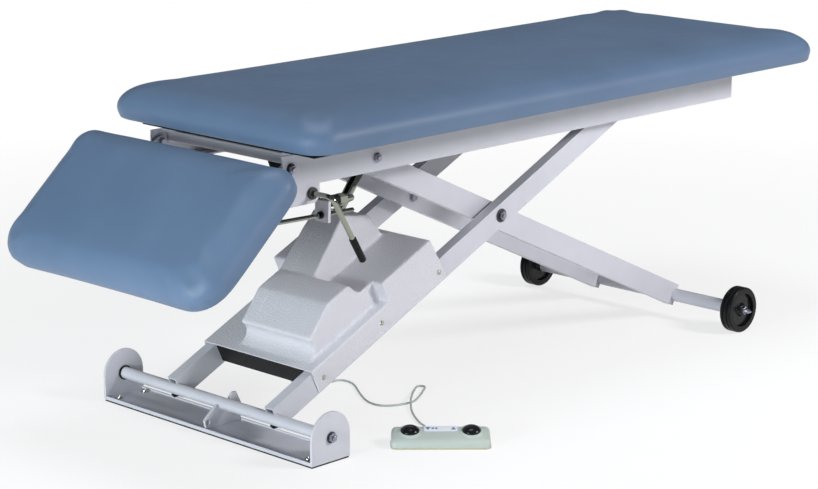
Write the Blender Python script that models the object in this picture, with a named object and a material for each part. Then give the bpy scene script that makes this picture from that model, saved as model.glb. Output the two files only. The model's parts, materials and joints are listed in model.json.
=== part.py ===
# Powered treatment table: scissor lift, motor cover, foot pedal and a two-section padded top.
# Metres, +Z up. +X runs from the base plate to the wheels, -Y is the near side, Z = 0 is the floor.
import math

import bmesh
import bpy
from mathutils import Matrix, Vector

# Clearances
GAP = 0.0003
RUNNING_GAP = 0.0006
OVERRUN = 0.004

# Scissor linkage
REST_ANGLE = math.radians(25)
ARM_LENGTH = 0.785
UPPER_LENGTH = 0.490
PIVOT_HEIGHT = 0.0574

# Where the lift's upper pivot lies in the top frame
TOP_PIVOT_PLACE = (0.26736, 0.59624)

# Base
BASE_HALF_WIDTH = 0.343
BASE_HALF_DEPTH = 0.0557
PAD_THICKNESS = 0.0037
PAD_INSET = 0.002
PLATE_THICKNESS = 0.0045
LIP_HEIGHT = 0.004
EAR_THICKNESS = 0.006
SADDLE_THICKNESS = 0.006
SADDLE_FOOT = 0.0495
SADDLE_TOE = 0.0545
SADDLE_TOE_TOP = 0.034
SADDLE_TOE_CHAMFER = 0.005
SADDLE_HOLE_INSET = 0.0095
SADDLE_HOLE_HEIGHT = 0.0235
SADDLE_RIM = 0.006
SADDLE_APEX_HEIGHT = 0.0765
SADDLE_APEX = (0.0265, 0.0385)
SADDLE_HEEL = 0.0535
SADDLE_HEEL_TOP = 0.0466

# Bolts
BOLT_RADIUS = 0.006
BOLT_WASHER_RADIUS = 0.0125
BOLT_WASHER = 0.002
BOLT_HEAD_RADIUS = 0.0105
BOLT_HEAD = 0.0075
BOLT_REACH = 0.025
SCISSOR_WASHER_RADIUS = 0.016

# Tubes and arms of the lift
TUBE_RADIUS = 0.01335
AXLE_TUBE_RADIUS = 0.0165
ARM_WALL = 0.0025
OUTER_ARM_INNER_Y = 0.1464
OUTER_ARM_WIDTH = 0.027
OUTER_ARM_DEPTH = 0.0525
OUTER_ARM_START = 0.002
ARM_OVERHANG = 0.026
INNER_ARM_INNER_Y = 0.1104
INNER_ARM_WIDTH = 0.0254
INNER_ARM_DEPTH = 0.0545

# Motor cover, in the outer arms' frame (s along the arm, n square to it)
COVER_WALL = 0.003
COVER_HALF_WIDTH = 0.177
COVER_START = 0.129
COVER_END = 0.5725
COVER_BOTTOM = -0.021
DECK_HEIGHT = 0.035
PLATEAU_START = 0.390
PLATEAU_END = 0.562
PLATEAU_HEIGHT = 0.0865
BLOCK_NEAR_Y = -0.150
BLOCK_FAR_Y = 0.073
BLOCK_FOOT = 0.152
BLOCK_BROW = 0.1755
BLOCK_BROW_HEIGHT = 0.082
BLOCK_CREST = 0.254
BLOCK_HEIGHT = 0.1225
BLOCK_END = 0.326
BLOCK_HEEL = 0.340
TOWER_NEAR_Y = -0.030
TOWER_FAR_Y = 0.067
TOWER_FLARE = 0.012
TOWER_CREST = 0.465
TOWER_HEIGHT = 0.190
TOWER_BACK = 0.5325
TOWER_BACK_HEIGHT = 0.1472
TOWER_END = 0.545
ROD_SLOT_HALF_WIDTH = 0.0175
ROD_SLOT_HALF_HEIGHT = 0.0175
CROSS_PLATE_PLACE = 0.135
CROSS_PLATE_THICKNESS = 0.005
CROSS_PLATE_BOTTOM = -0.020
CROSS_PLATE_TOP = 0.030
CROSS_PLATE_TAPER = 0.040
CROSS_PLATE_END_HEIGHT = 0.022

# Lift actuator, along its own axis x from the lower eye
ACTUATOR_FOOT = (0.160, 0.0116)
ACTUATOR_Y = 0.017
CROSSBAR_RADIUS = 0.008
COLLAR_RADIUS = 0.013
COLLAR_WIDTH = 0.005
EYE_RADIUS = 0.0165
EYE_HALF_WIDTH = 0.015
GEARBOX_START = 0.040
GEARBOX_END = 0.105
GEARBOX_BOTTOM = -0.025
GEARBOX_TOP = 0.038
GEARBOX_HALF_WIDTH = 0.035
ACTUATOR_TUBE_RADIUS = 0.020
ACTUATOR_TUBE_END = 0.338
ACTUATOR_BORE_START = 0.098
MOTOR_X = 0.0686
MOTOR_Z = 0.0147
MOTOR_RADIUS = 0.031
MOTOR_END_Y = -0.135
MOTOR_CAP = 0.012
MOTOR_STEP = 0.003
ROD_RADIUS = 0.0125
ROD_START = 0.205
LEVER_PIN = (-0.280, 0.060)
LEVER_PIN_RADIUS = 0.006
LEVER_TUBE = (-0.220, 0.010)
LEVER_SLOT_END = (-0.303, 0.065)
LEVER_SLOT_HALF_WIDTH = 0.0092
LEVER_PLATE_THICKNESS = 0.005
LEVER_PLATE_OFFSET = 0.0215
LEVER_PLATE_RIM = 0.009
LEVER_TUBE_RIM = 0.010

# Control box and gland
BOX_START = 0.190
BOX_END = 0.310
BOX_NEAR_Y = 0.080
BOX_FAR_Y = 0.140
BOX_BOTTOM = -0.016
GLAND_S = 0.250
GLAND_Y = 0.100
GLAND_RADIUS = 0.0065
GLAND_TIP_RADIUS = 0.0042
GLAND_LENGTH = 0.012

# Wheels and axle
AXLE_HALF_LENGTH = 0.312
WHEEL_INNER_Y = 0.317
WHEEL_WIDTH = 0.032
WHEEL_RADIUS = 0.0574
TYRE_INNER_RADIUS = 0.0415
GROOVE_DEPTH = 0.003
GROOVE_WIDTH = 0.003
GROOVE_OFFSET = 0.006
HUB_RADIUS = 0.014
HUB_RECESS = 0.008
ACORN_LENGTH = 0.016
ACORN_SHARES = (1.3, 1.0, 0.33)

# Rails and rollers
RAIL_OUTER_Y = 0.213
RAIL_WALL = 0.0045
RAIL_INNER_Y = 0.178
RAIL_BOTTOM = 0.5664
RAIL_TOP = 0.6373
RAIL_END = 1.528
LUG_START = -0.008
LUG_END = 0.097
LUG_BOTTOM = 0.526
LUG_CORNER = 0.012
BOTTOM_FLANGE_START = 0.105
TOP_FLANGE_START = 0.0228
ROLLER_WIDTH = 0.024
ROLLER_PIN_CLEARANCE = 0.003
CROSSBAR_PLACES = ((0.036, 0.074), (0.750, 0.790), (1.450, 1.490))
CROSSBAR_HEIGHTS = (0.0235, 0.040, 0.040)

# Padded top
BOARD_END = 1.665
BOARD_HALF_WIDTH = 0.2765
BOARD_THICKNESS = 0.0127
CUSHION_START = -0.030
CUSHION_END = 1.725
CUSHION_HALF_WIDTH = 0.343
CUSHION_THICKNESS = 0.0794
CUSHION_CORNER_LEFT = 0.075
CUSHION_CORNER_RIGHT = 0.075
CUSHION_CROWN = 0.003
CUSHION_DRAW = 0.014
CUSHION_SHOULDER = 0.026
CUSHION_EDGE_REACH = 0.060
CUSHION_EDGE_STEPS = 5

# Drop section, in its own frame at the hinge (x runs back towards the table)
HINGE = (0.0149, 0.608)
DROP_ANGLE = math.radians(42)
DROP_BOARD_START = -0.380
DROP_BOARD_END = -0.040
DROP_BOARD_BOTTOM = 0.0296
DROP_CUSHION_START = -0.405
DROP_CUSHION_END = -0.050
DROP_CORNER_FREE = 0.080
DROP_CORNER_HINGE = 0.050
DROP_ARM_Y = 0.2005
DROP_ARM_THICKNESS = 0.006
DROP_ARM_END = -0.360
DROP_ARM_ROUND = 0.016
DROP_ARM_HEIGHT = 0.030
ROD_EYE = (-0.190, 0.006)
ROD_Y = -0.150
ROD_BRACKET_HALF_WIDTH = 0.010
ROD_BRACKET_THICKNESS = 0.004
ROD_BRACKET_HALF_LENGTH = 0.020
ROD_PIN_RADIUS = 0.004

# Support rod, its lock and the release lever
SUPPORT_ROD_RADIUS = 0.005
SUPPORT_ROD_TILT = math.radians(-1.8)
SUPPORT_ROD_LENGTH = 0.386
SUPPORT_EYE_RADIUS = 0.010
SUPPORT_EYE_HALF_WIDTH = 0.007
LOCK_PIVOT = (0.185, 0.503)
LOCK_START = -0.0145
LOCK_END = 0.043
LOCK_RADIUS = 0.013
LOCK_CAP_END = 0.071
LOCK_CAP_RADIUS = 0.010
LOCK_CAP_TIP_RADIUS = 0.005
CLAMP_THICKNESS = 0.008
CLAMP_HALF_WIDTH = 0.021
CLAMP_BOTTOM = -0.042
CLAMP_TOP = 0.005
CLAMP_HOLE_RADIUS = 0.0072
LOCK_ROD_DROP = 0.027
LOCK_PIN_RADIUS = 0.005
BRACKET_Y = -0.1235
BRACKET_THICKNESS = 0.005
BRACKET_RIM = 0.011
LEVER_SHAFT = (0.074, 0.548)
LEVER_ROD_RADIUS = 0.006
LEVER_BEND_Y = -0.275
LEVER_BEND_RADIUS = 0.018
LEVER_TIP = (0.161, 0.401)
GRIP_RADIUS = 0.008
GRIP_LENGTH = 0.057
BUSH_RADIUS = 0.0135
BUSH_FLANGE = 0.006
BUSH_BARREL = 0.009
CAM_Y = -0.141
CAM_THICKNESS = 0.006
CAM_RIM = 0.011
CAM_REACH = 0.024
CAM_NOSE = 0.006

# Foot pedal, in its own frame (x along it, +y to its back)
PEDAL_CENTRE = (0.2487, -0.423)
PEDAL_TURN = math.radians(-45)
PEDAL_LENGTH = 0.216
PEDAL_DEPTH = 0.066
PEDAL_RIM = 0.003
PEDAL_STEP = 0.0015
PEDAL_FRONT_HEIGHT = 0.017
PEDAL_BACK_HEIGHT = 0.034
PEDAL_CORNER = 0.012
BUTTON_RADIUS = 0.0195
BUTTON_OFFSET = 0.066
BUTTON_BACK = 0.005
BUTTON_HEIGHT = 0.011
BUTTON_SKIRT = 0.006
BUTTON_TRAVEL = 0.003
DOME_SHARES = ((0.72, 0.94), (0.88, 0.78), (0.97, 0.45))
COLLAR_RISE = 0.003
COLLAR_RIM = 0.003

# Control cord
CORD_RADIUS = 0.0025
CORD_STEP = 0.014
CORD_ROUTE = (
    (0.262, 0.099, 0.088), (0.282, 0.098, 0.046), (0.304, 0.095, 0.015), (0.332, 0.090, 0.004),
    (0.366, 0.081, 0.003), (0.400, 0.073, 0.003), (0.421, 0.071, 0.003), (0.430, 0.052, 0.003),
    (0.420, 0.017, 0.003), (0.380, -0.044, 0.003), (0.352, -0.096, 0.003), (0.349, -0.134, 0.003),
    (0.366, -0.155, 0.003), (0.393, -0.167, 0.003), (0.425, -0.170, 0.003), (0.465, -0.151, 0.003),
    (0.503, -0.1265, 0.003), (0.522, -0.1128, 0.003), (0.526, -0.103, 0.003), (0.520, -0.0958, 0.003),
    (0.510, -0.0972, 0.003), (0.490, -0.110, 0.003), (0.465, -0.128, 0.004), (0.438, -0.152, 0.009), (0.414, -0.172, 0.0095),
    (0.392, -0.194, 0.005), (0.372, -0.216, 0.003), (0.347, -0.249, 0.003), (0.322, -0.290, 0.003),
    (0.306, -0.328, 0.004), (0.297, -0.360, 0.008),
)
CORD_INLET_HEIGHT = 0.010
INLET_RADIUS = 0.0055
INLET_LENGTH = 0.008

# Colours: red, green, blue, roughness, metallic
PALE_STEEL = (0.58, 0.59, 0.64, 0.45, 0.0)
BRIGHT_STEEL = (0.62, 0.62, 0.62, 0.30, 1.0)
CHROME = (0.80, 0.80, 0.82, 0.12, 1.0)
DARK_STEEL = (0.05, 0.05, 0.055, 0.45, 0.6)
BLACK_PLASTIC = (0.02, 0.02, 0.022, 0.50, 0.0)
RUBBER = (0.035, 0.035, 0.035, 0.80, 0.0)
COVER_PLASTIC = (0.54, 0.54, 0.60, 0.50, 0.0)
VINYL = (0.10, 0.15, 0.29, 0.45, 0.0)
BOARD_BLACK = (0.022, 0.022, 0.026, 0.60, 0.0)
PEDAL_PLASTIC = (0.32, 0.37, 0.35, 0.55, 0.0)
WHITE = (0.85, 0.85, 0.83, 0.50, 0.0)
CORD_GREY = (0.30, 0.30, 0.30, 0.60, 0.0)

# Places worked out from the sizes above
BOLT_SIDES = 16
TUBE_SIDES = 24
TYRE_SIDES = 36
HOLE_TURN = 0.6 * math.pi / BOLT_SIDES
SIDES = (("near", -1), ("far", 1))
COS_REST = math.cos(REST_ANGLE)
SIN_REST = math.sin(REST_ANGLE)
SCISSOR = (ARM_LENGTH * COS_REST, PIVOT_HEIGHT + ARM_LENGTH * SIN_REST)
TOP_PIVOT = (SCISSOR[0] - UPPER_LENGTH * COS_REST, SCISSOR[1] + UPPER_LENGTH * SIN_REST)
TOP_FRAME_PLACE = (TOP_PIVOT[0] - TOP_PIVOT_PLACE[0], 0, TOP_PIVOT[1] - TOP_PIVOT_PLACE[1])
ROLLER_RADIUS = TOP_PIVOT_PLACE[1] - RAIL_BOTTOM - RAIL_WALL - GAP
OUTER_ARM_END = ARM_LENGTH + UPPER_LENGTH + ARM_OVERHANG
INNER_ARM_START = -UPPER_LENGTH - ARM_OVERHANG
BOLT_HOLE = BOLT_RADIUS + GAP
PLATE_BOTTOM = PAD_THICKNESS + GAP
PLATE_TOP = PLATE_BOTTOM + PLATE_THICKNESS
BOARD_BOTTOM = RAIL_TOP + GAP
CUSHION_BOTTOM = BOARD_BOTTOM + BOARD_THICKNESS + GAP
WEB_INNER_Y = RAIL_OUTER_Y - RAIL_WALL
CROSSBAR_TOP = RAIL_TOP - RAIL_WALL - GAP
WHEEL_OUTER_Y = WHEEL_INNER_Y + WHEEL_WIDTH


# Mesh helpers
def clear_scene():
    for item in list(bpy.data.objects):
        bpy.data.objects.remove(item, do_unlink=True)


def material(colour):
    name = "paint_%02x%02x%02x" % tuple(int(255 * value) for value in colour[:3])
    found = bpy.data.materials.get(name)
    if found:
        return found
    made = bpy.data.materials.new(name)
    made.use_nodes = True
    shader = made.node_tree.nodes["Principled BSDF"]
    shader.inputs["Base Color"].default_value = (*colour[:3], 1)
    shader.inputs["Roughness"].default_value = colour[3]
    shader.inputs["Metallic"].default_value = colour[4]
    return made


def empty(name, place, parent=None, tilt=0.0, turn=0.0):
    frame = bpy.data.objects.new(name, None)
    bpy.context.scene.collection.objects.link(frame)
    frame.location = place
    frame.rotation_euler = (0, tilt, turn)
    frame.parent = parent
    return frame


def piece(name, mesh_tool, parent, colour):
    bmesh.ops.recalc_face_normals(mesh_tool, faces=mesh_tool.faces)
    mesh = bpy.data.meshes.new(name)
    mesh_tool.to_mesh(mesh)
    mesh_tool.free()
    mesh.shade_smooth()
    mesh.set_sharp_from_angle(angle=math.radians(35))
    made = bpy.data.objects.new(name, mesh)
    bpy.context.scene.collection.objects.link(made)
    made.parent = parent
    made.data.materials.append(material(colour))
    return made


def boolean(target, mesh_tool, operation):
    tool = piece("%s_tool_%d" % (target.name, len(target.modifiers)), mesh_tool, target.parent, WHITE)
    tool.hide_render = True
    tool.display_type = "WIRE"
    modifier = target.modifiers.new(operation.lower(), "BOOLEAN")
    modifier.operation = operation
    modifier.solver = "EXACT"
    modifier.object = tool


def cut(target, mesh_tool):
    boolean(target, mesh_tool, "DIFFERENCE")


def fuse(target, mesh_tool):
    boolean(target, mesh_tool, "UNION")


def add_prism(mesh_tool, outline, start, end, axis="Y"):
    """Extrude an outline: (x, z) points along Y, (x, y) points along Z, (y, z) points along X."""
    places = {
        "X": lambda point, along: (along, point[0], point[1]),
        "Y": lambda point, along: (point[0], along, point[1]),
        "Z": lambda point, along: (point[0], point[1], along),
    }[axis]
    first = [mesh_tool.verts.new(places(point, start)) for point in outline]
    last = [mesh_tool.verts.new(places(point, end)) for point in outline]
    mesh_tool.faces.new(first)
    mesh_tool.faces.new(list(reversed(last)))
    for index in range(len(outline)):
        following = (index + 1) % len(outline)
        mesh_tool.faces.new((first[index], last[index], last[following], first[following]))
    return mesh_tool


def add_box(mesh_tool, x_span, y_span, z_span):
    outline = [(x_span[0], z_span[0]), (x_span[1], z_span[0]), (x_span[1], z_span[1]), (x_span[0], z_span[1])]
    return add_prism(mesh_tool, outline, y_span[0], y_span[1])


def add_turned(mesh_tool, profile, centre, axis="Y", sides=BOLT_SIDES, ring=False, turn=0.0):
    """Turn (distance, radius) points about an axis; a ring joins its last point to its first."""
    along = {"X": Vector((1, 0, 0)), "Y": Vector((0, 1, 0)), "Z": Vector((0, 0, 1))}[axis]
    side = {"X": Vector((0, 1, 0)), "Y": Vector((0, 0, 1)), "Z": Vector((1, 0, 0))}[axis]
    other = along.cross(side)
    loops = []
    for distance, radius in profile:
        middle = Vector(centre) + along * distance
        if radius <= 0:
            loops.append([mesh_tool.verts.new(middle)])
            continue
        loop = []
        for index in range(sides):
            angle = turn + 2 * math.pi * index / sides
            loop.append(mesh_tool.verts.new(middle + radius * (side * math.cos(angle) + other * math.sin(angle))))
        loops.append(loop)
    pairs = list(zip(loops, loops[1:]))
    if ring:
        pairs.append((loops[-1], loops[0]))
    else:
        for loop in (loops[0], loops[-1]):
            if len(loop) > 1:
                mesh_tool.faces.new(loop)
    for near, far in pairs:
        for index in range(sides):
            following = (index + 1) % sides
            corners = [near[index % len(near)], near[following % len(near)]]
            corners += [far[following % len(far)], far[index % len(far)]]
            corners = list(dict.fromkeys(corners))
            if len(corners) > 2:
                mesh_tool.faces.new(corners)
    return mesh_tool


def add_hollow_bar(mesh_tool, x_span, y_span, z_span, wall):
    """A rectangular tube along X, open at both ends."""
    loops = []
    for x, inset in ((x_span[0], 0), (x_span[1], 0), (x_span[1], wall), (x_span[0], wall)):
        low_y, high_y = y_span[0] + inset, y_span[1] - inset
        low_z, high_z = z_span[0] + inset, z_span[1] - inset
        corners = ((low_y, low_z), (high_y, low_z), (high_y, high_z), (low_y, high_z))
        loops.append([mesh_tool.verts.new((x, y, z)) for y, z in corners])
    for near, far in zip(loops, loops[1:] + loops[:1]):
        for index in range(4):
            following = (index + 1) % 4
            mesh_tool.faces.new((near[index], near[following], far[following], far[index]))
    return mesh_tool


def arc(centre, radius, start, end, steps):
    """Points on an arc in a plane, angles in degrees."""
    points = []
    for index in range(steps + 1):
        angle = math.radians(start + (end - start) * index / steps)
        points.append((centre[0] + radius * math.cos(angle), centre[1] + radius * math.sin(angle)))
    return points


def rounded_plan(x_span, half_width, start_radius, end_radius, inset=0.0, steps=6):
    """A rectangle in plan with round corners, drawn in by an inset."""
    low, high = x_span[0] + inset, x_span[1] - inset
    half = half_width - inset
    first, last = max(start_radius - inset, OVERRUN), max(end_radius - inset, OVERRUN)
    points = arc((low + first, -half + first), first, 180, 270, steps)
    points += arc((high - last, -half + last), last, 270, 360, steps)
    points += arc((high - last, half - last), last, 0, 90, steps)
    points += arc((low + first, half - first), first, 90, 180, steps)
    return points


def hull(points):
    """The convex outline round some points in a plane."""
    ordered = sorted(set(points))
    chains = []
    for run in (ordered, list(reversed(ordered))):
        chain = []
        for point in run:
            while len(chain) > 1:
                first, second = chain[-2], chain[-1]
                turn = (second[0] - first[0]) * (point[1] - first[1])
                turn -= (second[1] - first[1]) * (point[0] - first[0])
                if turn > 0:
                    break
                chain.pop()
            chain.append(point)
        chains.append(chain[:-1])
    return chains[0] + chains[1]


def hull_of_circles(circles, steps=24):
    points = []
    for centre, radius in circles:
        points += arc(centre, radius, 0, 360 - 360 / steps, steps - 1)
    return hull(points)


def pin_profile(*stations):
    """A turned profile from (start, end, radius) stations, closed on the axis."""
    profile = [(stations[0][0], 0)]
    for start, end, radius in stations:
        profile += [(start, radius), (end, radius)]
    return profile + [(stations[-1][1], 0)]


def mirrored(profile):
    return [(-distance, radius) for distance, radius in profile]


def cushion_rings(x_span, half_width, bottom, thickness, corners):
    """Rings from the flat base, round the drawn-in side, to the crowned top: (outline, height)."""
    top = bottom + thickness
    shoulder = bottom + CUSHION_SHOULDER
    rise = top - CUSHION_CROWN - shoulder
    stations = [(CUSHION_DRAW, bottom), (CUSHION_DRAW / 3, bottom + CUSHION_DRAW / 2), (0.0, shoulder)]
    for step in range(1, CUSHION_EDGE_STEPS + 1):
        angle = math.pi / 2 * step / CUSHION_EDGE_STEPS
        stations.append((CUSHION_EDGE_REACH * (1 - math.cos(angle)), shoulder + rise * math.sin(angle)))
    stations.append((2 * CUSHION_EDGE_REACH, top - CUSHION_CROWN / 4))
    stations.append((3 * CUSHION_EDGE_REACH, top))
    return [(rounded_plan(x_span, half_width, *corners, inset=inset, steps=8), height) for inset, height in stations]


def add_lofted(mesh_tool, rings):
    loops = [[mesh_tool.verts.new((x, y, height)) for x, y in outline] for outline, height in rings]
    mesh_tool.faces.new(loops[0])
    mesh_tool.faces.new(loops[-1])
    for near, far in zip(loops, loops[1:]):
        for index in range(len(near)):
            following = (index + 1) % len(near)
            mesh_tool.faces.new((near[index], near[following], far[following], far[index]))
    return mesh_tool


def span(first, second):
    return (min(first, second), max(first, second))


def make_pair(name, add, parent, colour):
    """One object for each side of the centre plane, built with side -1 and then 1."""
    for end, side in SIDES:
        piece(name + "_" + end, add(bmesh.new(), side), parent, colour)


# Base
def ear_outline():
    points = [(-BASE_HALF_DEPTH, PLATE_BOTTOM), (BASE_HALF_DEPTH, PLATE_BOTTOM)]
    return points + arc((0, PIVOT_HEIGHT), BASE_HALF_DEPTH, 0, 180, 16)


def make_foot_plate(root):
    plate = add_box(bmesh.new(), (-BASE_HALF_DEPTH, BASE_HALF_DEPTH),
                    (-BASE_HALF_WIDTH + EAR_THICKNESS / 2, BASE_HALF_WIDTH - EAR_THICKNESS / 2),
                    (PLATE_BOTTOM, PLATE_TOP))
    made = piece("foot_plate", plate, root, PALE_STEEL)
    for side in (-1, 1):
        ear = add_prism(bmesh.new(), ear_outline(), side * BASE_HALF_WIDTH, side * (BASE_HALF_WIDTH - EAR_THICKNESS))
        fuse(made, ear)
        lip_end = side * BASE_HALF_DEPTH
        lip = add_box(bmesh.new(), span(lip_end, lip_end - side * PLATE_THICKNESS),
                      (-BASE_HALF_WIDTH + EAR_THICKNESS / 2, BASE_HALF_WIDTH - EAR_THICKNESS / 2),
                      (PLATE_TOP - PLATE_THICKNESS / 2, PLATE_TOP + LIP_HEIGHT))
        fuse(made, lip)
    reach = BASE_HALF_WIDTH + OVERRUN
    cut(made, add_turned(bmesh.new(), ((-reach, BOLT_HOLE), (reach, BOLT_HOLE)), (0, 0, PIVOT_HEIGHT)))
    return made


def make_foot_pad(root):
    pad = add_box(bmesh.new(), (-BASE_HALF_DEPTH + PAD_INSET, BASE_HALF_DEPTH - PAD_INSET),
                  (-BASE_HALF_WIDTH + PAD_INSET, BASE_HALF_WIDTH - PAD_INSET), (0, PAD_THICKNESS))
    piece("foot_pad", pad, root, RUBBER)


def make_centre_saddle(root):
    foot = PLATE_TOP + GAP
    cradle = TUBE_RADIUS + GAP
    outline = [(-SADDLE_FOOT, foot), (SADDLE_FOOT, foot), (SADDLE_HEEL, SADDLE_HEEL_TOP)]
    outline += [(SADDLE_APEX[1], SADDLE_APEX_HEIGHT), (SADDLE_APEX[0], SADDLE_APEX_HEIGHT), (cradle, PIVOT_HEIGHT)]
    outline += arc((0, PIVOT_HEIGHT), cradle, 0, -180, 10)[1:]
    outline += [(-cradle - SADDLE_RIM, PIVOT_HEIGHT), (SADDLE_TOE_CHAMFER - SADDLE_TOE, SADDLE_TOE_TOP)]
    outline += [(-SADDLE_TOE, SADDLE_TOE_TOP - SADDLE_TOE_CHAMFER)]
    saddle = add_prism(bmesh.new(), outline, -SADDLE_THICKNESS / 2, SADDLE_THICKNESS / 2)
    made = piece("centre_saddle", saddle, root, PALE_STEEL)
    hole = add_turned(bmesh.new(), ((-SADDLE_THICKNESS, BOLT_RADIUS), (SADDLE_THICKNESS, BOLT_RADIUS)),
                      (SADDLE_HOLE_INSET - SADDLE_TOE, 0, SADDLE_HOLE_HEIGHT))
    cut(made, hole)


def add_pivot_bolt(mesh_tool, side):
    face = BASE_HALF_WIDTH + GAP
    profile = pin_profile((BASE_HALF_WIDTH - EAR_THICKNESS - BOLT_REACH, face, BOLT_RADIUS),
                          (face, face + BOLT_WASHER, BOLT_WASHER_RADIUS),
                          (face + BOLT_WASHER, face + BOLT_WASHER + BOLT_HEAD, BOLT_HEAD_RADIUS))
    return add_turned(mesh_tool, profile if side > 0 else mirrored(profile), (0, 0, PIVOT_HEIGHT))


# Outer arms, in a frame at the pivot tube with x along the arms and z square to them
def tube_profile(half_length, radius):
    """A cross tube with a blind bolt hole in each end."""
    floor = half_length - BOLT_REACH - OVERRUN
    return [(-floor, 0), (-floor, BOLT_HOLE), (-half_length, BOLT_HOLE), (-half_length, radius),
            (half_length, radius), (half_length, BOLT_HOLE), (floor, BOLT_HOLE), (floor, 0)]


def cut_saddle(arm, reach, place, tube_radius):
    """Notch an arm's end round the cross tube that it is welded to."""
    radius = tube_radius + GAP
    cut(arm, add_turned(bmesh.new(), ((reach[0], radius), (reach[1], radius)), (place, 0, 0), sides=TUBE_SIDES))


def make_outer_arm(name, side, outer):
    inner_y = side * OUTER_ARM_INNER_Y
    outer_y = side * (OUTER_ARM_INNER_Y + OUTER_ARM_WIDTH)
    bar = add_hollow_bar(bmesh.new(), (OUTER_ARM_START, OUTER_ARM_END), span(inner_y, outer_y),
                         (-OUTER_ARM_DEPTH / 2, OUTER_ARM_DEPTH / 2), ARM_WALL)
    made = piece(name, bar, outer, PALE_STEEL)
    reach = span(inner_y - side * OVERRUN, outer_y + side * OVERRUN)
    for place in (ARM_LENGTH, ARM_LENGTH + UPPER_LENGTH):
        cut(made, add_turned(bmesh.new(), ((reach[0], BOLT_HOLE), (reach[1], BOLT_HOLE)), (place, 0, 0), turn=HOLE_TURN))
    cut_saddle(made, reach, 0, TUBE_RADIUS)


def add_scissor_bolt(mesh_tool, side):
    inner_face = INNER_ARM_INNER_Y - GAP
    shim_start = INNER_ARM_INNER_Y + INNER_ARM_WIDTH + GAP
    shim_end = OUTER_ARM_INNER_Y - GAP
    head_start = OUTER_ARM_INNER_Y + OUTER_ARM_WIDTH + GAP
    profile = pin_profile((inner_face - BOLT_HEAD, inner_face, BOLT_HEAD_RADIUS), (inner_face, shim_start, BOLT_RADIUS),
                          (shim_start, shim_end, SCISSOR_WASHER_RADIUS), (shim_end, head_start, BOLT_RADIUS),
                          (head_start, head_start + BOLT_WASHER, SCISSOR_WASHER_RADIUS),
                          (head_start + BOLT_WASHER, head_start + BOLT_WASHER + BOLT_HEAD, BOLT_HEAD_RADIUS))
    return add_turned(mesh_tool, profile if side > 0 else mirrored(profile), (ARM_LENGTH, 0, 0))


def roller_span():
    start = RAIL_INNER_Y + ROLLER_PIN_CLEARANCE
    return start, start + ROLLER_WIDTH


def add_roller_pin(mesh_tool, side):
    head_end = OUTER_ARM_INNER_Y - GAP
    shim_start = OUTER_ARM_INNER_Y + OUTER_ARM_WIDTH + GAP
    roller_start, roller_end = roller_span()
    profile = pin_profile((head_end - BOLT_HEAD, head_end, BOLT_HEAD_RADIUS), (head_end, shim_start, BOLT_RADIUS),
                          (shim_start, roller_start - GAP, BOLT_HEAD_RADIUS),
                          (roller_start - GAP, roller_end, BOLT_RADIUS))
    return add_turned(mesh_tool, profile if side > 0 else mirrored(profile), (ARM_LENGTH + UPPER_LENGTH, 0, 0))


def make_cross_plate(outer):
    reach = OUTER_ARM_INNER_Y - GAP
    outline = [(-reach, CROSS_PLATE_BOTTOM), (reach, CROSS_PLATE_BOTTOM), (reach, CROSS_PLATE_END_HEIGHT)]
    outline += [(reach - CROSS_PLATE_TAPER, CROSS_PLATE_TOP), (CROSS_PLATE_TAPER - reach, CROSS_PLATE_TOP)]
    outline += [(-reach, CROSS_PLATE_END_HEIGHT)]
    plate = add_prism(bmesh.new(), outline, CROSS_PLATE_PLACE, CROSS_PLATE_PLACE + CROSS_PLATE_THICKNESS, axis="X")
    piece("front_cross_plate", plate, outer, DARK_STEEL)


# Motor cover
def deck_outline(wall):
    low = COVER_BOTTOM - (OVERRUN if wall else 0)
    return [(COVER_START + wall, low), (PLATEAU_START + OVERRUN, low),
            (PLATEAU_START + OVERRUN, DECK_HEIGHT - wall), (COVER_START + wall, DECK_HEIGHT - wall)]


def plateau_outline(wall):
    low = COVER_BOTTOM - (OVERRUN if wall else 0)
    return [(PLATEAU_START + wall, low), (COVER_END - wall, low),
            (PLATEAU_END - wall, PLATEAU_HEIGHT - wall), (PLATEAU_START + wall, PLATEAU_HEIGHT - wall)]


def block_outline(wall):
    low = DECK_HEIGHT - OVERRUN - wall
    return [(BLOCK_FOOT + wall, low), (BLOCK_BROW + wall, BLOCK_BROW_HEIGHT - wall / 2),
            (BLOCK_CREST + wall / 2, BLOCK_HEIGHT - wall), (BLOCK_END - wall / 2, BLOCK_HEIGHT - wall),
            (BLOCK_HEEL - wall / 2, PLATEAU_HEIGHT - wall), (PLATEAU_START + 2 * OVERRUN, PLATEAU_HEIGHT - wall),
            (PLATEAU_START + 2 * OVERRUN, low)]


def add_tower(mesh_tool, wall):
    """The tower over the actuator, wider at its foot than at its top."""
    outline = [(BLOCK_END - wall, BLOCK_HEIGHT - wall), (TOWER_CREST - wall / 2, TOWER_HEIGHT - wall),
               (TOWER_BACK - wall, TOWER_BACK_HEIGHT - wall / 2), (TOWER_END - wall, PLATEAU_HEIGHT - 2 * wall),
               (BLOCK_END - TOWER_FLARE + wall, PLATEAU_HEIGHT - 2 * wall)]
    sides = []
    for side, top_y in ((-1, TOWER_NEAR_Y), (1, TOWER_FAR_Y)):
        corners = []
        for s, n in outline:
            share = (TOWER_HEIGHT - n) / (TOWER_HEIGHT - PLATEAU_HEIGHT)
            corners.append(mesh_tool.verts.new((s, top_y + side * (TOWER_FLARE * share - wall), n)))
        sides.append(corners)
    mesh_tool.faces.new(sides[0])
    mesh_tool.faces.new(sides[1])
    for index in range(len(outline)):
        following = (index + 1) % len(outline)
        mesh_tool.faces.new((sides[0][index], sides[0][following], sides[1][following], sides[1][index]))
    return mesh_tool


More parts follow.
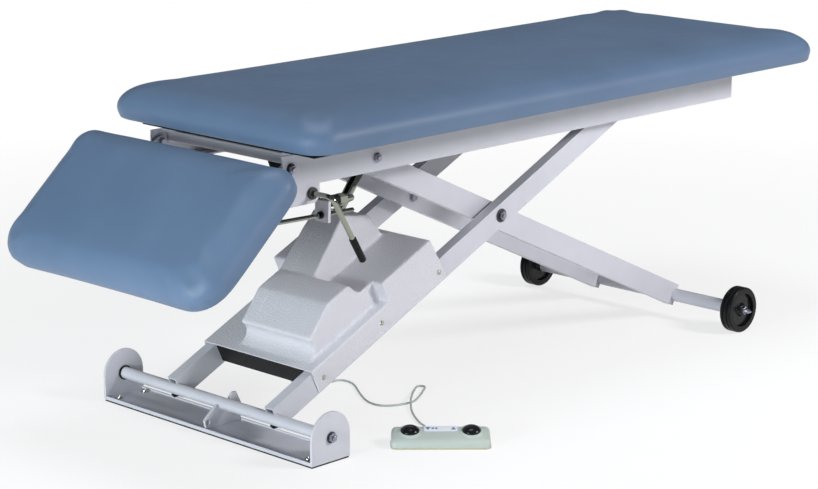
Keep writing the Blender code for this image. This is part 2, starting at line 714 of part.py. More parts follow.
def cover_shapes(wall):
    """The four shapes that the cover is built from, drawn in by its wall for its inside."""
    half = COVER_HALF_WIDTH - wall
    return [add_prism(bmesh.new(), deck_outline(wall), -half, half),
            add_prism(bmesh.new(), plateau_outline(wall), -half, half),
            add_prism(bmesh.new(), block_outline(wall), BLOCK_NEAR_Y + wall, BLOCK_FAR_Y - wall),
            add_tower(bmesh.new(), wall)]


def make_motor_cover(outer):
    shapes = cover_shapes(0)
    made = piece("motor_cover", shapes[0], outer, COVER_PLASTIC)
    for shape in shapes[1:]:
        fuse(made, shape)
    for shape in cover_shapes(COVER_WALL):
        cut(made, shape)
    inside = add_box(bmesh.new(), (COVER_START + COVER_WALL, PLATEAU_START + 2 * COVER_WALL),
                     (BLOCK_NEAR_Y + COVER_WALL, BLOCK_FAR_Y - COVER_WALL), (COVER_BOTTOM, DECK_HEIGHT - COVER_WALL))
    cut(made, inside)
    for side in (-1, 1):
        y_span = span(side * (OUTER_ARM_INNER_Y - RUNNING_GAP), side * (COVER_HALF_WIDTH - COVER_WALL))
        slot = add_box(bmesh.new(), (COVER_START - OVERRUN, COVER_END + OVERRUN), y_span,
                       (COVER_BOTTOM - OVERRUN, OUTER_ARM_DEPTH / 2 + RUNNING_GAP))
        cut(made, slot)
    mouth = add_box(bmesh.new(), (COVER_START - OVERRUN, COVER_START + COVER_WALL + GAP),
                    (-OUTER_ARM_INNER_Y, OUTER_ARM_INNER_Y), (COVER_BOTTOM - OVERRUN, CROSS_PLATE_TOP))
    cut(made, mouth)
    cut_rod_slot(made)


def actuator_slope():
    pin = lever_pin_place()
    return math.atan2(pin[1] - ACTUATOR_FOOT[1], pin[0] - ACTUATOR_FOOT[0])


def lever_pin_place():
    """The lever pin in the outer arms' frame, where the inner arms lie at twice the rest angle."""
    turn = 2 * REST_ANGLE
    x, z = LEVER_PIN
    return (ARM_LENGTH + x * math.cos(turn) + z * math.sin(turn), -x * math.sin(turn) + z * math.cos(turn))


def actuator_length():
    pin = lever_pin_place()
    return math.hypot(pin[0] - ACTUATOR_FOOT[0], pin[1] - ACTUATOR_FOOT[1])


def cut_rod_slot(cover):
    """A hole in the tower's back for the rod, along the actuator's slope."""
    tool = bmesh.new()
    add_box(tool, (ACTUATOR_TUBE_END - 4 * OVERRUN, actuator_length()),
            (ACTUATOR_Y - ROD_SLOT_HALF_WIDTH, ACTUATOR_Y + ROD_SLOT_HALF_WIDTH),
            (-ROD_SLOT_HALF_HEIGHT, ROD_SLOT_HALF_HEIGHT))
    bmesh.ops.rotate(tool, verts=tool.verts, matrix=Matrix.Rotation(-actuator_slope(), 3, "Y"))
    bmesh.ops.translate(tool, verts=tool.verts, vec=(ACTUATOR_FOOT[0], 0, ACTUATOR_FOOT[1]))
    cut(cover, tool)


def make_control_box(outer):
    box = add_box(bmesh.new(), (BOX_START, BOX_END), (BOX_NEAR_Y, BOX_FAR_Y),
                  (BOX_BOTTOM, DECK_HEIGHT - COVER_WALL - GAP))
    piece("control_box", box, outer, BLACK_PLASTIC)
    top = BOX_BOTTOM - GAP
    profile = [(top - GLAND_LENGTH, 0), (top - GLAND_LENGTH, GLAND_TIP_RADIUS), (top - GLAND_LENGTH / 2, GLAND_RADIUS)]
    profile += [(top, GLAND_RADIUS), (top, 0)]
    piece("cord_gland", add_turned(bmesh.new(), profile, (GLAND_S, GLAND_Y, 0), axis="Z"), outer, RUBBER)


# Actuator
def make_actuator(outer):
    reach = OUTER_ARM_INNER_Y - GAP
    collar = ACTUATOR_Y + EYE_HALF_WIDTH + GAP
    other = ACTUATOR_Y - EYE_HALF_WIDTH - GAP
    profile = pin_profile((-reach, other - COLLAR_WIDTH, CROSSBAR_RADIUS), (other - COLLAR_WIDTH, other, COLLAR_RADIUS),
                          (other, collar, CROSSBAR_RADIUS), (collar, collar + COLLAR_WIDTH, COLLAR_RADIUS),
                          (collar + COLLAR_WIDTH, reach, CROSSBAR_RADIUS))
    piece("actuator_crossbar", add_turned(bmesh.new(), profile, (ACTUATOR_FOOT[0], 0, ACTUATOR_FOOT[1])), outer,
          DARK_STEEL)
    frame = empty("actuator_frame", (ACTUATOR_FOOT[0], ACTUATOR_Y, ACTUATOR_FOOT[1]), outer, tilt=-actuator_slope())
    eye = ((-EYE_HALF_WIDTH, EYE_RADIUS), (EYE_HALF_WIDTH, EYE_RADIUS))
    body = piece("actuator_body", add_turned(bmesh.new(), eye, (0, 0, 0)), frame, DARK_STEEL)
    fuse(body, add_box(bmesh.new(), (0, GEARBOX_START + OVERRUN),
                       (-EYE_HALF_WIDTH + OVERRUN, EYE_HALF_WIDTH - OVERRUN), (-EYE_RADIUS / 2, EYE_RADIUS / 2)))
    fuse(body, add_box(bmesh.new(), (GEARBOX_START, GEARBOX_END), (-GEARBOX_HALF_WIDTH, GEARBOX_HALF_WIDTH),
                       (GEARBOX_BOTTOM, GEARBOX_TOP)))
    tube = ((GEARBOX_END - OVERRUN, ACTUATOR_TUBE_RADIUS), (ACTUATOR_TUBE_END, ACTUATOR_TUBE_RADIUS))
    fuse(body, add_turned(bmesh.new(), tube, (0, 0, 0), axis="X"))
    hole = CROSSBAR_RADIUS + GAP
    width = EYE_HALF_WIDTH + OVERRUN
    cut(body, add_turned(bmesh.new(), ((-width, hole), (width, hole)), (0, 0, 0)))
    bore = ROD_RADIUS + RUNNING_GAP
    cut(body, add_turned(bmesh.new(), ((ACTUATOR_BORE_START, bore), (ACTUATOR_TUBE_END + OVERRUN, bore)),
                         (0, 0, 0), axis="X"))
    start = MOTOR_END_Y - ACTUATOR_Y
    end = -GEARBOX_HALF_WIDTH - GAP
    profile = pin_profile((start, start + MOTOR_CAP, MOTOR_RADIUS - MOTOR_STEP), (start + MOTOR_CAP, end, MOTOR_RADIUS))
    piece("actuator_motor", add_turned(bmesh.new(), profile, (MOTOR_X, 0, MOTOR_Z), sides=TUBE_SIDES), frame, DARK_STEEL)
    make_actuator_rod(frame)


def make_actuator_rod(frame):
    slide = empty("actuator_rod_slide", (0, 0, 0), frame)
    length = actuator_length()
    shaft = ((ROD_START, ROD_RADIUS), (length, ROD_RADIUS))
    rod = piece("actuator_rod", add_turned(bmesh.new(), shaft, (0, 0, 0), axis="X"), slide, BRIGHT_STEEL)
    fuse(rod, add_turned(bmesh.new(), ((-EYE_HALF_WIDTH, EYE_RADIUS), (EYE_HALF_WIDTH, EYE_RADIUS)), (length, 0, 0)))
    reach = LEVER_PLATE_OFFSET + LEVER_PLATE_THICKNESS + OVERRUN
    pin = pin_profile((-reach, reach, LEVER_PIN_RADIUS))
    fuse(rod, add_turned(bmesh.new(), pin, (length, 0, 0)))


# Inner arms, in a frame at the scissor pivot with x down towards the wheels
def make_inner_arm(name, side, inner):
    inner_y = side * INNER_ARM_INNER_Y
    outer_y = side * (INNER_ARM_INNER_Y + INNER_ARM_WIDTH)
    bar = add_hollow_bar(bmesh.new(), (INNER_ARM_START, ARM_LENGTH), span(inner_y, outer_y),
                         (-INNER_ARM_DEPTH / 2, INNER_ARM_DEPTH / 2), ARM_WALL)
    made = piece(name, bar, inner, PALE_STEEL)
    reach = span(inner_y - side * OVERRUN, outer_y + side * OVERRUN)
    for place in (-UPPER_LENGTH, 0):
        cut(made, add_turned(bmesh.new(), ((reach[0], BOLT_HOLE), (reach[1], BOLT_HOLE)), (place, 0, 0), turn=HOLE_TURN))
    cut_saddle(made, reach, ARM_LENGTH, AXLE_TUBE_RADIUS)


def make_lift_lever(inner):
    """The cross tube between the inner arms and the two slotted plates that the actuator pushes."""
    reach = INNER_ARM_INNER_Y - GAP
    place = (LEVER_TUBE[0], 0, LEVER_TUBE[1])
    tube = add_turned(bmesh.new(), pin_profile((-reach, reach, TUBE_RADIUS)), place, sides=TUBE_SIDES)
    made = piece("lift_lever", tube, inner, PALE_STEEL)
    rim = LEVER_SLOT_HALF_WIDTH + LEVER_PLATE_RIM
    outline = hull_of_circles(((LEVER_TUBE, TUBE_RADIUS + LEVER_TUBE_RIM), (LEVER_PIN, rim), (LEVER_SLOT_END, rim)))
    slot = hull_of_circles(((LEVER_PIN, LEVER_SLOT_HALF_WIDTH), (LEVER_SLOT_END, LEVER_SLOT_HALF_WIDTH)))
    for side in (-1, 1):
        start = ACTUATOR_Y + side * LEVER_PLATE_OFFSET
        fuse(made, add_prism(bmesh.new(), outline, *span(start, start + side * LEVER_PLATE_THICKNESS)))
    outside = LEVER_PLATE_OFFSET + LEVER_PLATE_THICKNESS + OVERRUN
    cut(made, add_prism(bmesh.new(), slot, ACTUATOR_Y - outside, ACTUATOR_Y + outside))


def make_axle(inner):
    tube = add_turned(bmesh.new(), tube_profile(AXLE_HALF_LENGTH, AXLE_TUBE_RADIUS), (ARM_LENGTH, 0, 0), sides=TUBE_SIDES)
    piece("axle_tube", tube, inner, PALE_STEEL)


def add_axle_bolt(mesh_tool, side):
    start = AXLE_HALF_LENGTH - BOLT_REACH
    collar = AXLE_HALF_LENGTH + GAP
    nut = WHEEL_OUTER_Y + GAP
    nut_end = nut + BOLT_HEAD
    profile = [(start, 0), (start, BOLT_RADIUS), (collar, BOLT_RADIUS), (collar, BOLT_WASHER_RADIUS)]
    profile += [(WHEEL_INNER_Y - GAP, BOLT_WASHER_RADIUS), (WHEEL_INNER_Y - GAP, BOLT_RADIUS), (nut, BOLT_RADIUS)]
    profile += [(nut, BOLT_HEAD_RADIUS), (nut_end, BOLT_HEAD_RADIUS), (nut_end, BOLT_RADIUS * ACORN_SHARES[0])]
    profile += [(nut_end + ACORN_LENGTH / 2, BOLT_RADIUS * ACORN_SHARES[1])]
    profile += [(nut_end + ACORN_LENGTH, BOLT_RADIUS * ACORN_SHARES[2])]
    profile += [(nut_end + ACORN_LENGTH, 0)]
    return add_turned(mesh_tool, profile if side > 0 else mirrored(profile), (ARM_LENGTH, 0, 0))


def make_wheel(name, side, inner):
    spin = empty(name + "_spin", (ARM_LENGTH, 0, 0), inner)
    edge = GROOVE_WIDTH
    middle = WHEEL_INNER_Y + WHEEL_WIDTH / 2
    profile = [(WHEEL_INNER_Y, TYRE_INNER_RADIUS), (WHEEL_INNER_Y, WHEEL_RADIUS - edge)]
    profile += [(WHEEL_INNER_Y + edge, WHEEL_RADIUS)]
    for groove in (middle - GROOVE_OFFSET, middle + GROOVE_OFFSET):
        profile += [(groove - GROOVE_WIDTH / 2, WHEEL_RADIUS), (groove - GROOVE_WIDTH / 2, WHEEL_RADIUS - GROOVE_DEPTH)]
        profile += [(groove + GROOVE_WIDTH / 2, WHEEL_RADIUS - GROOVE_DEPTH), (groove + GROOVE_WIDTH / 2, WHEEL_RADIUS)]
    profile += [(WHEEL_OUTER_Y - edge, WHEEL_RADIUS), (WHEEL_OUTER_Y, WHEEL_RADIUS - edge)]
    profile += [(WHEEL_OUTER_Y, TYRE_INNER_RADIUS)]
    hub_edge = TYRE_INNER_RADIUS - GAP
    hub = [(WHEEL_INNER_Y, BOLT_HOLE), (WHEEL_INNER_Y, HUB_RADIUS), (WHEEL_INNER_Y + HUB_RECESS, HUB_RADIUS + edge)]
    hub += [(WHEEL_INNER_Y + HUB_RECESS, hub_edge), (WHEEL_OUTER_Y - HUB_RECESS, hub_edge)]
    hub += [(WHEEL_OUTER_Y - HUB_RECESS, HUB_RADIUS + edge), (WHEEL_OUTER_Y, HUB_RADIUS), (WHEEL_OUTER_Y, BOLT_HOLE)]
    if side < 0:
        profile, hub = mirrored(profile), mirrored(hub)
    piece(name + "_tyre", add_turned(bmesh.new(), profile, (0, 0, 0), sides=TYRE_SIDES, ring=True), spin, RUBBER)
    piece(name + "_hub", add_turned(bmesh.new(), hub, (0, 0, 0), sides=TUBE_SIDES, ring=True), spin, BLACK_PLASTIC)


# Top frame, with x from the hinge end and z from the floor
def make_rail(name, side, top):
    web_span = span(side * WEB_INNER_Y, side * RAIL_OUTER_Y)
    outline = [(LUG_START, LUG_BOTTOM + LUG_CORNER), (LUG_START + LUG_CORNER, LUG_BOTTOM)]
    outline += [(LUG_END - LUG_CORNER, LUG_BOTTOM), (LUG_END, LUG_BOTTOM + LUG_CORNER), (LUG_END, RAIL_BOTTOM)]
    outline += [(RAIL_END, RAIL_BOTTOM), (RAIL_END, RAIL_TOP), (LUG_START, RAIL_TOP)]
    made = piece(name, add_prism(bmesh.new(), outline, *web_span), top, PALE_STEEL)
    flange_span = span(side * RAIL_INNER_Y, side * (RAIL_OUTER_Y - RAIL_WALL / 2))
    fuse(made, add_box(bmesh.new(), (BOTTOM_FLANGE_START, RAIL_END), flange_span,
                       (RAIL_BOTTOM, RAIL_BOTTOM + RAIL_WALL)))
    fuse(made, add_box(bmesh.new(), (TOP_FLANGE_START, RAIL_END), flange_span, (RAIL_TOP - RAIL_WALL, RAIL_TOP)))
    reach = span(side * (WEB_INNER_Y - OVERRUN), side * (RAIL_OUTER_Y + OVERRUN))
    holes = [(TOP_PIVOT_PLACE, BOLT_HOLE), (HINGE, BOLT_HOLE)]
    if side < 0:
        holes.append((LEVER_SHAFT, BUSH_BARREL + GAP))
    for (x, z), radius in holes:
        cut(made, add_turned(bmesh.new(), ((reach[0], radius), (reach[1], radius)), (x, 0, z)))


def make_cross_members(top):
    reach = WEB_INNER_Y - GAP
    names = ("front_crossbar", "middle_crossbar", "rear_crossbar")
    for name, x_span, height in zip(names, CROSSBAR_PLACES, CROSSBAR_HEIGHTS):
        bar = add_box(bmesh.new(), x_span, (-reach, reach), (CROSSBAR_TOP - height, CROSSBAR_TOP))
        piece(name, bar, top, PALE_STEEL)


def add_top_pivot_bolt(mesh_tool, side):
    inner_face = INNER_ARM_INNER_Y - GAP
    shim_start = INNER_ARM_INNER_Y + INNER_ARM_WIDTH + GAP
    shim_end = WEB_INNER_Y - GAP
    head_start = RAIL_OUTER_Y + GAP
    profile = pin_profile((inner_face - BOLT_HEAD, inner_face, BOLT_HEAD_RADIUS), (inner_face, shim_start, BOLT_RADIUS),
                          (shim_start, shim_end, BOLT_WASHER_RADIUS), (shim_end, head_start, BOLT_RADIUS),
                          (head_start, head_start + BOLT_HEAD, BOLT_HEAD_RADIUS))
    return add_turned(mesh_tool, profile if side > 0 else mirrored(profile), (TOP_PIVOT_PLACE[0], 0, TOP_PIVOT_PLACE[1]))


def add_hinge_bolt(mesh_tool, side):
    nut = DROP_ARM_Y - GAP
    arm_end = DROP_ARM_Y + DROP_ARM_THICKNESS + GAP
    head = RAIL_OUTER_Y + GAP
    profile = pin_profile((nut - BOLT_HEAD, nut, BOLT_HEAD_RADIUS), (nut, arm_end, BOLT_RADIUS),
                          (arm_end, WEB_INNER_Y - GAP, BOLT_HEAD_RADIUS), (WEB_INNER_Y - GAP, head, BOLT_RADIUS),
                          (head, head + BOLT_WASHER, BOLT_WASHER_RADIUS),
                          (head + BOLT_WASHER, head + BOLT_WASHER + BOLT_HEAD, BOLT_HEAD_RADIUS))
    return add_turned(mesh_tool, profile if side > 0 else mirrored(profile), (HINGE[0], 0, HINGE[1]))


def make_lever_bush(top):
    face = RAIL_OUTER_Y + GAP
    bore = LEVER_ROD_RADIUS + GAP
    profile = [(-WEB_INNER_Y, bore), (-WEB_INNER_Y, BUSH_BARREL), (-face, BUSH_BARREL), (-face, BUSH_RADIUS)]
    profile += [(-face - BUSH_FLANGE, BUSH_RADIUS), (-face - BUSH_FLANGE, bore)]
    bush = add_turned(bmesh.new(), profile, (LEVER_SHAFT[0], 0, LEVER_SHAFT[1]), ring=True)
    piece("lever_bush", bush, top, PALE_STEEL)


def make_lock_bracket(top):
    """A plate hung from the front cross member, carrying the lock's pivot and the lever's inner end."""
    crossbar_bottom = CROSSBAR_TOP - CROSSBAR_HEIGHTS[0] - GAP
    start, end = CROSSBAR_PLACES[0]
    corners = [(start, crossbar_bottom), (end, crossbar_bottom)]
    corners += arc(LOCK_PIVOT, BRACKET_RIM, 0, 345, 23) + arc(LEVER_SHAFT, BRACKET_RIM + GAP, 0, 345, 23)
    plate = add_prism(bmesh.new(), hull(corners), BRACKET_Y, BRACKET_Y + BRACKET_THICKNESS)
    made = piece("lock_bracket", plate, top, DARK_STEEL)
    reach = (BRACKET_Y - OVERRUN, BRACKET_Y + BRACKET_THICKNESS + OVERRUN)
    for (x, z), radius in ((LOCK_PIVOT, LOCK_PIN_RADIUS + GAP), (LEVER_SHAFT, LEVER_ROD_RADIUS + GAP)):
        cut(made, add_turned(bmesh.new(), ((reach[0], radius), (reach[1], radius)), (x, 0, z)))


def make_top(top):
    board = add_box(bmesh.new(), (TOP_FLANGE_START, BOARD_END), (-BOARD_HALF_WIDTH, BOARD_HALF_WIDTH),
                    (BOARD_BOTTOM, BOARD_BOTTOM + BOARD_THICKNESS))
    piece("top_board", board, top, BOARD_BLACK)
    rings = cushion_rings((CUSHION_START, CUSHION_END), CUSHION_HALF_WIDTH, CUSHION_BOTTOM, CUSHION_THICKNESS,
                          (CUSHION_CORNER_LEFT, CUSHION_CORNER_RIGHT))
    piece("main_cushion", add_lofted(bmesh.new(), rings), top, VINYL)


# Drop section, in a frame at its hinge
def make_drop_section(drop):
    bottom = DROP_BOARD_BOTTOM
    board = add_box(bmesh.new(), (DROP_BOARD_START, DROP_BOARD_END), (-BOARD_HALF_WIDTH, BOARD_HALF_WIDTH),
                    (bottom, bottom + BOARD_THICKNESS))
    piece("drop_board", board, drop, BOARD_BLACK)
    rings = cushion_rings((DROP_CUSHION_START, DROP_CUSHION_END), CUSHION_HALF_WIDTH,
                          bottom + BOARD_THICKNESS + GAP, CUSHION_THICKNESS, (DROP_CORNER_FREE, DROP_CORNER_HINGE))
    piece("drop_cushion", add_lofted(bmesh.new(), rings), drop, VINYL)
    reach = DROP_ARM_Y + DROP_ARM_THICKNESS + OVERRUN
    for end, side in SIDES:
        arm = piece("drop_arm_" + end, add_drop_arm(bmesh.new(), side), drop, PALE_STEEL)
        cut(arm, add_turned(bmesh.new(), ((-reach, BOLT_HOLE), (reach, BOLT_HOLE)), (0, 0, 0)))
    make_rod_bracket(drop)


def add_drop_arm(mesh_tool, side):
    top = DROP_BOARD_BOTTOM - GAP
    outline = [(DROP_ARM_END, top), (DROP_ARM_END, top - DROP_ARM_HEIGHT / 2)]
    outline += arc((0, 0), DROP_ARM_ROUND, -110, 60, 10)
    outline += [(DROP_BOARD_END - OVERRUN, top)]
    return add_prism(mesh_tool, outline, *span(side * DROP_ARM_Y, side * (DROP_ARM_Y + DROP_ARM_THICKNESS)))


def make_rod_bracket(drop):
    """A small fork under the drop board, with the pin that the support rod swings on."""
    x, z = ROD_EYE
    top = DROP_BOARD_BOTTOM - GAP
    foot = (x - ROD_BRACKET_HALF_LENGTH, x + ROD_BRACKET_HALF_LENGTH)
    rim = ROD_PIN_RADIUS + ROD_BRACKET_THICKNESS
    half = ROD_BRACKET_HALF_WIDTH
    base = add_box(bmesh.new(), foot, (ROD_Y - half - ROD_BRACKET_THICKNESS, ROD_Y + half + ROD_BRACKET_THICKNESS),
                   (top - ROD_BRACKET_THICKNESS, top))
    made = piece("rod_bracket", base, drop, PALE_STEEL)
    cheek = hull([(foot[0], top - GAP), (foot[1], top - GAP)] + arc(ROD_EYE, rim, 0, 345, 23))
    for side in (-1, 1):
        start = ROD_Y + side * half
        fuse(made, add_prism(bmesh.new(), cheek, *span(start, start + side * ROD_BRACKET_THICKNESS)))
    reach = half + ROD_BRACKET_THICKNESS / 2
    fuse(made, add_turned(bmesh.new(), ((-reach, ROD_PIN_RADIUS), (reach, ROD_PIN_RADIUS)), (x, ROD_Y, z)))


def support_rod_foot():
    """Where the support rod's pin lies at rest: on the rod's line past the lock."""
    x, z = ROD_EYE
    turn = DROP_ANGLE
    return (HINGE[0] + x * math.cos(turn) - z * math.sin(turn), HINGE[1] + x * math.sin(turn) + z * math.cos(turn))


def make_support_rod(top):
    foot = support_rod_foot()
    frame = empty("support_rod_swing", (foot[0], ROD_Y, foot[1]), top, tilt=-SUPPORT_ROD_TILT)
    shaft = pin_profile((SUPPORT_EYE_RADIUS / 2, SUPPORT_ROD_LENGTH, SUPPORT_ROD_RADIUS))
    rod = piece("support_rod", add_turned(bmesh.new(), shaft, (0, 0, 0), axis="X"), frame, CHROME)
    width = SUPPORT_EYE_HALF_WIDTH
    fuse(rod, add_turned(bmesh.new(), ((-width, SUPPORT_EYE_RADIUS), (width, SUPPORT_EYE_RADIUS)), (0, 0, 0)))
    hole = ROD_PIN_RADIUS + GAP
    width += OVERRUN
    cut(rod, add_turned(bmesh.new(), ((-width, hole), (width, hole)), (0, 0, 0)))


# Rod lock and release lever
def make_rod_lock(top):
    frame = empty("rod_lock_swing", (LOCK_PIVOT[0], ROD_Y, LOCK_PIVOT[1]), top, tilt=-SUPPORT_ROD_TILT)
    body = pin_profile((LOCK_START, LOCK_END, LOCK_RADIUS))
    housing = piece("lock_housing", add_turned(bmesh.new(), body, (0, 0, 0), axis="X", sides=TUBE_SIDES), frame, DARK_STEEL)
    pin_end = BRACKET_Y + BRACKET_THICKNESS + GAP - ROD_Y
    pin = pin_profile((0, pin_end, LOCK_PIN_RADIUS))
    fuse(housing, add_turned(bmesh.new(), pin, (0, 0, 0)))
    cap = [(0, 0), (0, LOCK_CAP_RADIUS), (LOCK_CAP_END - LOCK_CAP_TIP_RADIUS, LOCK_CAP_RADIUS)]
    cap += [(LOCK_CAP_END, LOCK_CAP_TIP_RADIUS), (LOCK_CAP_END, 0)]
    fuse(housing, add_turned(bmesh.new(), cap, (0, 0, 0), axis="X", sides=6))
    end = LOCK_START - GAP
    plate = add_box(bmesh.new(), (end - CLAMP_THICKNESS, end), (-CLAMP_HALF_WIDTH, CLAMP_HALF_WIDTH),
                    (CLAMP_BOTTOM, CLAMP_TOP))
    clamp = piece("clamp_plate", plate, frame, PALE_STEEL)
    reach = (end - CLAMP_THICKNESS - OVERRUN, end + OVERRUN)
    cut(clamp, add_turned(bmesh.new(), ((reach[0], CLAMP_HOLE_RADIUS), (reach[1], CLAMP_HOLE_RADIUS)),
                          (0, 0, -LOCK_ROD_DROP), axis="X"))


def add_rod_curve(name, points, radius, parent, colour, resolution=3):
    curve = bpy.data.curves.new(name, "CURVE")
    curve.dimensions = "3D"
    curve.bevel_depth = radius
    curve.bevel_resolution = resolution
    curve.use_fill_caps = True
    spline = curve.splines.new("POLY")
    spline.points.add(len(points) - 1)
    for target, point in zip(spline.points, points):
        target.co = (*point, 1)
    made = bpy.data.objects.new(name, curve)
    bpy.context.scene.collection.objects.link(made)
    made.parent = parent
    curve.materials.append(material(colour))
    return made


def bent_path(points, radius, steps=6):
    """A path through points with each corner rounded."""
    path = [Vector(points[0])]
    for before, corner, after in zip(points, points[1:], points[2:]):
        corner = Vector(corner)
        start = corner + (Vector(before) - corner).normalized() * radius
        end = corner + (Vector(after) - corner).normalized() * radius
        for index in range(steps + 1):
            share = index / steps
            path.append(start * (1 - share) ** 2 + corner * 2 * share * (1 - share) + end * share ** 2)
    path.append(Vector(points[-1]))
    return path


def make_release_lever(top):
    frame = empty("release_lever_turn", (LEVER_SHAFT[0], 0, LEVER_SHAFT[1]), top)
    tip = Vector((LEVER_TIP[0] - LEVER_SHAFT[0], LEVER_BEND_Y, LEVER_TIP[1] - LEVER_SHAFT[1]))
    corner = Vector((0, LEVER_BEND_Y, 0))
    along = (tip - corner).normalized()
    inner_end = BRACKET_Y + BRACKET_THICKNESS + GAP
    path = bent_path(((0, inner_end, 0), corner, tip), LEVER_BEND_RADIUS)
    add_rod_curve("lever_rod", path, LEVER_ROD_RADIUS, frame, PALE_STEEL, resolution=4)
    tilt = math.atan2(-along.z, along.x)
    grip_frame = empty("lever_grip_frame", tip, frame, tilt=tilt)
    bore = LEVER_ROD_RADIUS + GAP
    grip = [(GAP, 0), (GAP, bore), (-GRIP_LENGTH, bore), (-GRIP_LENGTH, GRIP_RADIUS), (OVERRUN, GRIP_RADIUS)]
    grip += [(OVERRUN + LEVER_ROD_RADIUS / 2, GRIP_RADIUS / 2), (OVERRUN + LEVER_ROD_RADIUS / 2, 0)]
    piece("lever_grip", add_turned(bmesh.new(), grip, (0, 0, 0), axis="X"), grip_frame, RUBBER)
    outline = hull_of_circles((((0, 0), LEVER_ROD_RADIUS + CAM_RIM), ((CAM_REACH, 0), CAM_NOSE)))
    cam = piece("lever_cam", add_prism(bmesh.new(), outline, CAM_Y, CAM_Y + CAM_THICKNESS), frame, DARK_STEEL)
    cut(cam, add_turned(bmesh.new(), ((CAM_Y - OVERRUN, bore), (CAM_Y + CAM_THICKNESS + OVERRUN, bore)), (0, 0, 0)))


# Foot pedal
def pedal_slope():
    return math.atan2(PEDAL_BACK_HEIGHT - PEDAL_FRONT_HEIGHT, PEDAL_DEPTH)


def pedal_top(y):
    return PEDAL_FRONT_HEIGHT + (y + PEDAL_DEPTH / 2) * math.tan(pedal_slope())


def pedal_plan(inset=0.0):
    return rounded_plan((-PEDAL_LENGTH / 2, PEDAL_LENGTH / 2), PEDAL_DEPTH / 2, PEDAL_CORNER, PEDAL_CORNER, inset)


def make_pedal(root):
    frame = empty("pedal_frame", (*PEDAL_CENTRE, 0), root, turn=PEDAL_TURN)
    rings = [(pedal_plan(), lambda y: 0), (pedal_plan(), lambda y: PEDAL_RIM), (pedal_plan(PEDAL_STEP), lambda y: PEDAL_RIM),
             (pedal_plan(PEDAL_STEP), lambda y: pedal_top(y) - COLLAR_RISE),
             (pedal_plan(COLLAR_RISE), pedal_top)]
    tool = bmesh.new()
    loops = [[tool.verts.new((x, y, height(y))) for x, y in outline] for outline, height in rings]
    tool.faces.new(loops[0])
    tool.faces.new(loops[-1])
    for near, far in zip(loops, loops[1:]):
        for index in range(len(near)):
            following = (index + 1) % len(near)
            tool.faces.new((near[index], near[following], far[following], far[index]))
    housing = piece("pedal_housing", tool, frame, PEDAL_PLASTIC)
    for side in (-1, 1):
        seat = button_frame_matrix(side)
        rim = BUTTON_RADIUS + RUNNING_GAP + COLLAR_RIM
        raised = add_turned(bmesh.new(), ((-BUTTON_SKIRT, rim), (COLLAR_RISE, rim)), (0, 0, 0), axis="Z", sides=TUBE_SIDES)
        bmesh.ops.transform(raised, matrix=seat, verts=raised.verts)
        fuse(housing, raised)
        bore = BUTTON_RADIUS + RUNNING_GAP
        floor = -BUTTON_SKIRT - BUTTON_TRAVEL + GAP
        well = add_turned(bmesh.new(), ((floor, bore), (BUTTON_HEIGHT, bore)), (0, 0, 0), axis="Z", sides=TUBE_SIDES)
        bmesh.ops.transform(well, matrix=seat, verts=well.verts)
        cut(housing, well)
    face = PEDAL_DEPTH / 2
    inlet = pin_profile((face - PEDAL_CORNER, face + INLET_LENGTH, INLET_RADIUS))
    fuse(housing, add_turned(bmesh.new(), inlet, (0, 0, CORD_INLET_HEIGHT)))
    make_buttons(frame)


def button_frame_matrix(side):
    place = Vector((side * BUTTON_OFFSET, BUTTON_BACK, pedal_top(BUTTON_BACK)))
    return Matrix.Translation(place) @ Matrix.Rotation(pedal_slope(), 4, "X")


def make_buttons(frame):
    for name, side in (("button_down", -1), ("button_up", 1)):
        slide = bpy.data.objects.new(name + "_slide", None)
        bpy.context.scene.collection.objects.link(slide)
        slide.parent = frame
        slide.matrix_local = button_frame_matrix(side)
        bottom = -BUTTON_SKIRT + 2 * GAP
        profile = [(bottom, 0), (bottom, BUTTON_RADIUS), (BUTTON_HEIGHT / 2, BUTTON_RADIUS)]
        profile += [(BUTTON_HEIGHT * share, BUTTON_RADIUS * width) for share, width in DOME_SHARES]
        profile += [(BUTTON_HEIGHT, 0)]
        piece(name, add_turned(bmesh.new(), profile, (0, 0, 0), axis="Z", sides=TUBE_SIDES), slide, BLACK_PLASTIC)


def smooth_route(points, step):
    """Evenly spaced points on a Catmull-Rom curve through the route."""
    points = [Vector(point) for point in points]
    padded = [2 * points[0] - points[1]] + points + [2 * points[-1] - points[-2]]
    fine = []
    for first, second, third, fourth in zip(padded, padded[1:], padded[2:], padded[3:]):
        for index in range(20):
            share = index / 20
            pull = 2 * second + (third - first) * share
            pull += (2 * first - 5 * second + 4 * third - fourth) * share ** 2
            pull += (3 * second - first - 3 * third + fourth) * share ** 3
            fine.append(pull / 2)
    fine.append(points[-1])
    route, travelled = [fine[0]], 0.0
    for before, after in zip(fine, fine[1:]):
        travelled += (after - before).length
        if travelled >= step:
            route.append(after)
            travelled = 0.0
    if (route[-1] - points[-1]).length < step / 2:
        route.pop()
    return route + [points[-1]]


def gland_exit():
    """The gland's tip and its outward direction, in the world."""
    n = BOX_BOTTOM - GAP - GLAND_LENGTH
    tip = Vector((GLAND_S * COS_REST - n * SIN_REST, GLAND_Y, PIVOT_HEIGHT + GLAND_S * SIN_REST + n * COS_REST))
    return tip, Vector((SIN_REST, 0, -COS_REST))


def inlet_exit():
    reach = PEDAL_DEPTH / 2 + GAP + INLET_LENGTH
    out = Vector((-math.sin(PEDAL_TURN), math.cos(PEDAL_TURN), 0))
    return Vector((*PEDAL_CENTRE, CORD_INLET_HEIGHT)) + out * reach, out


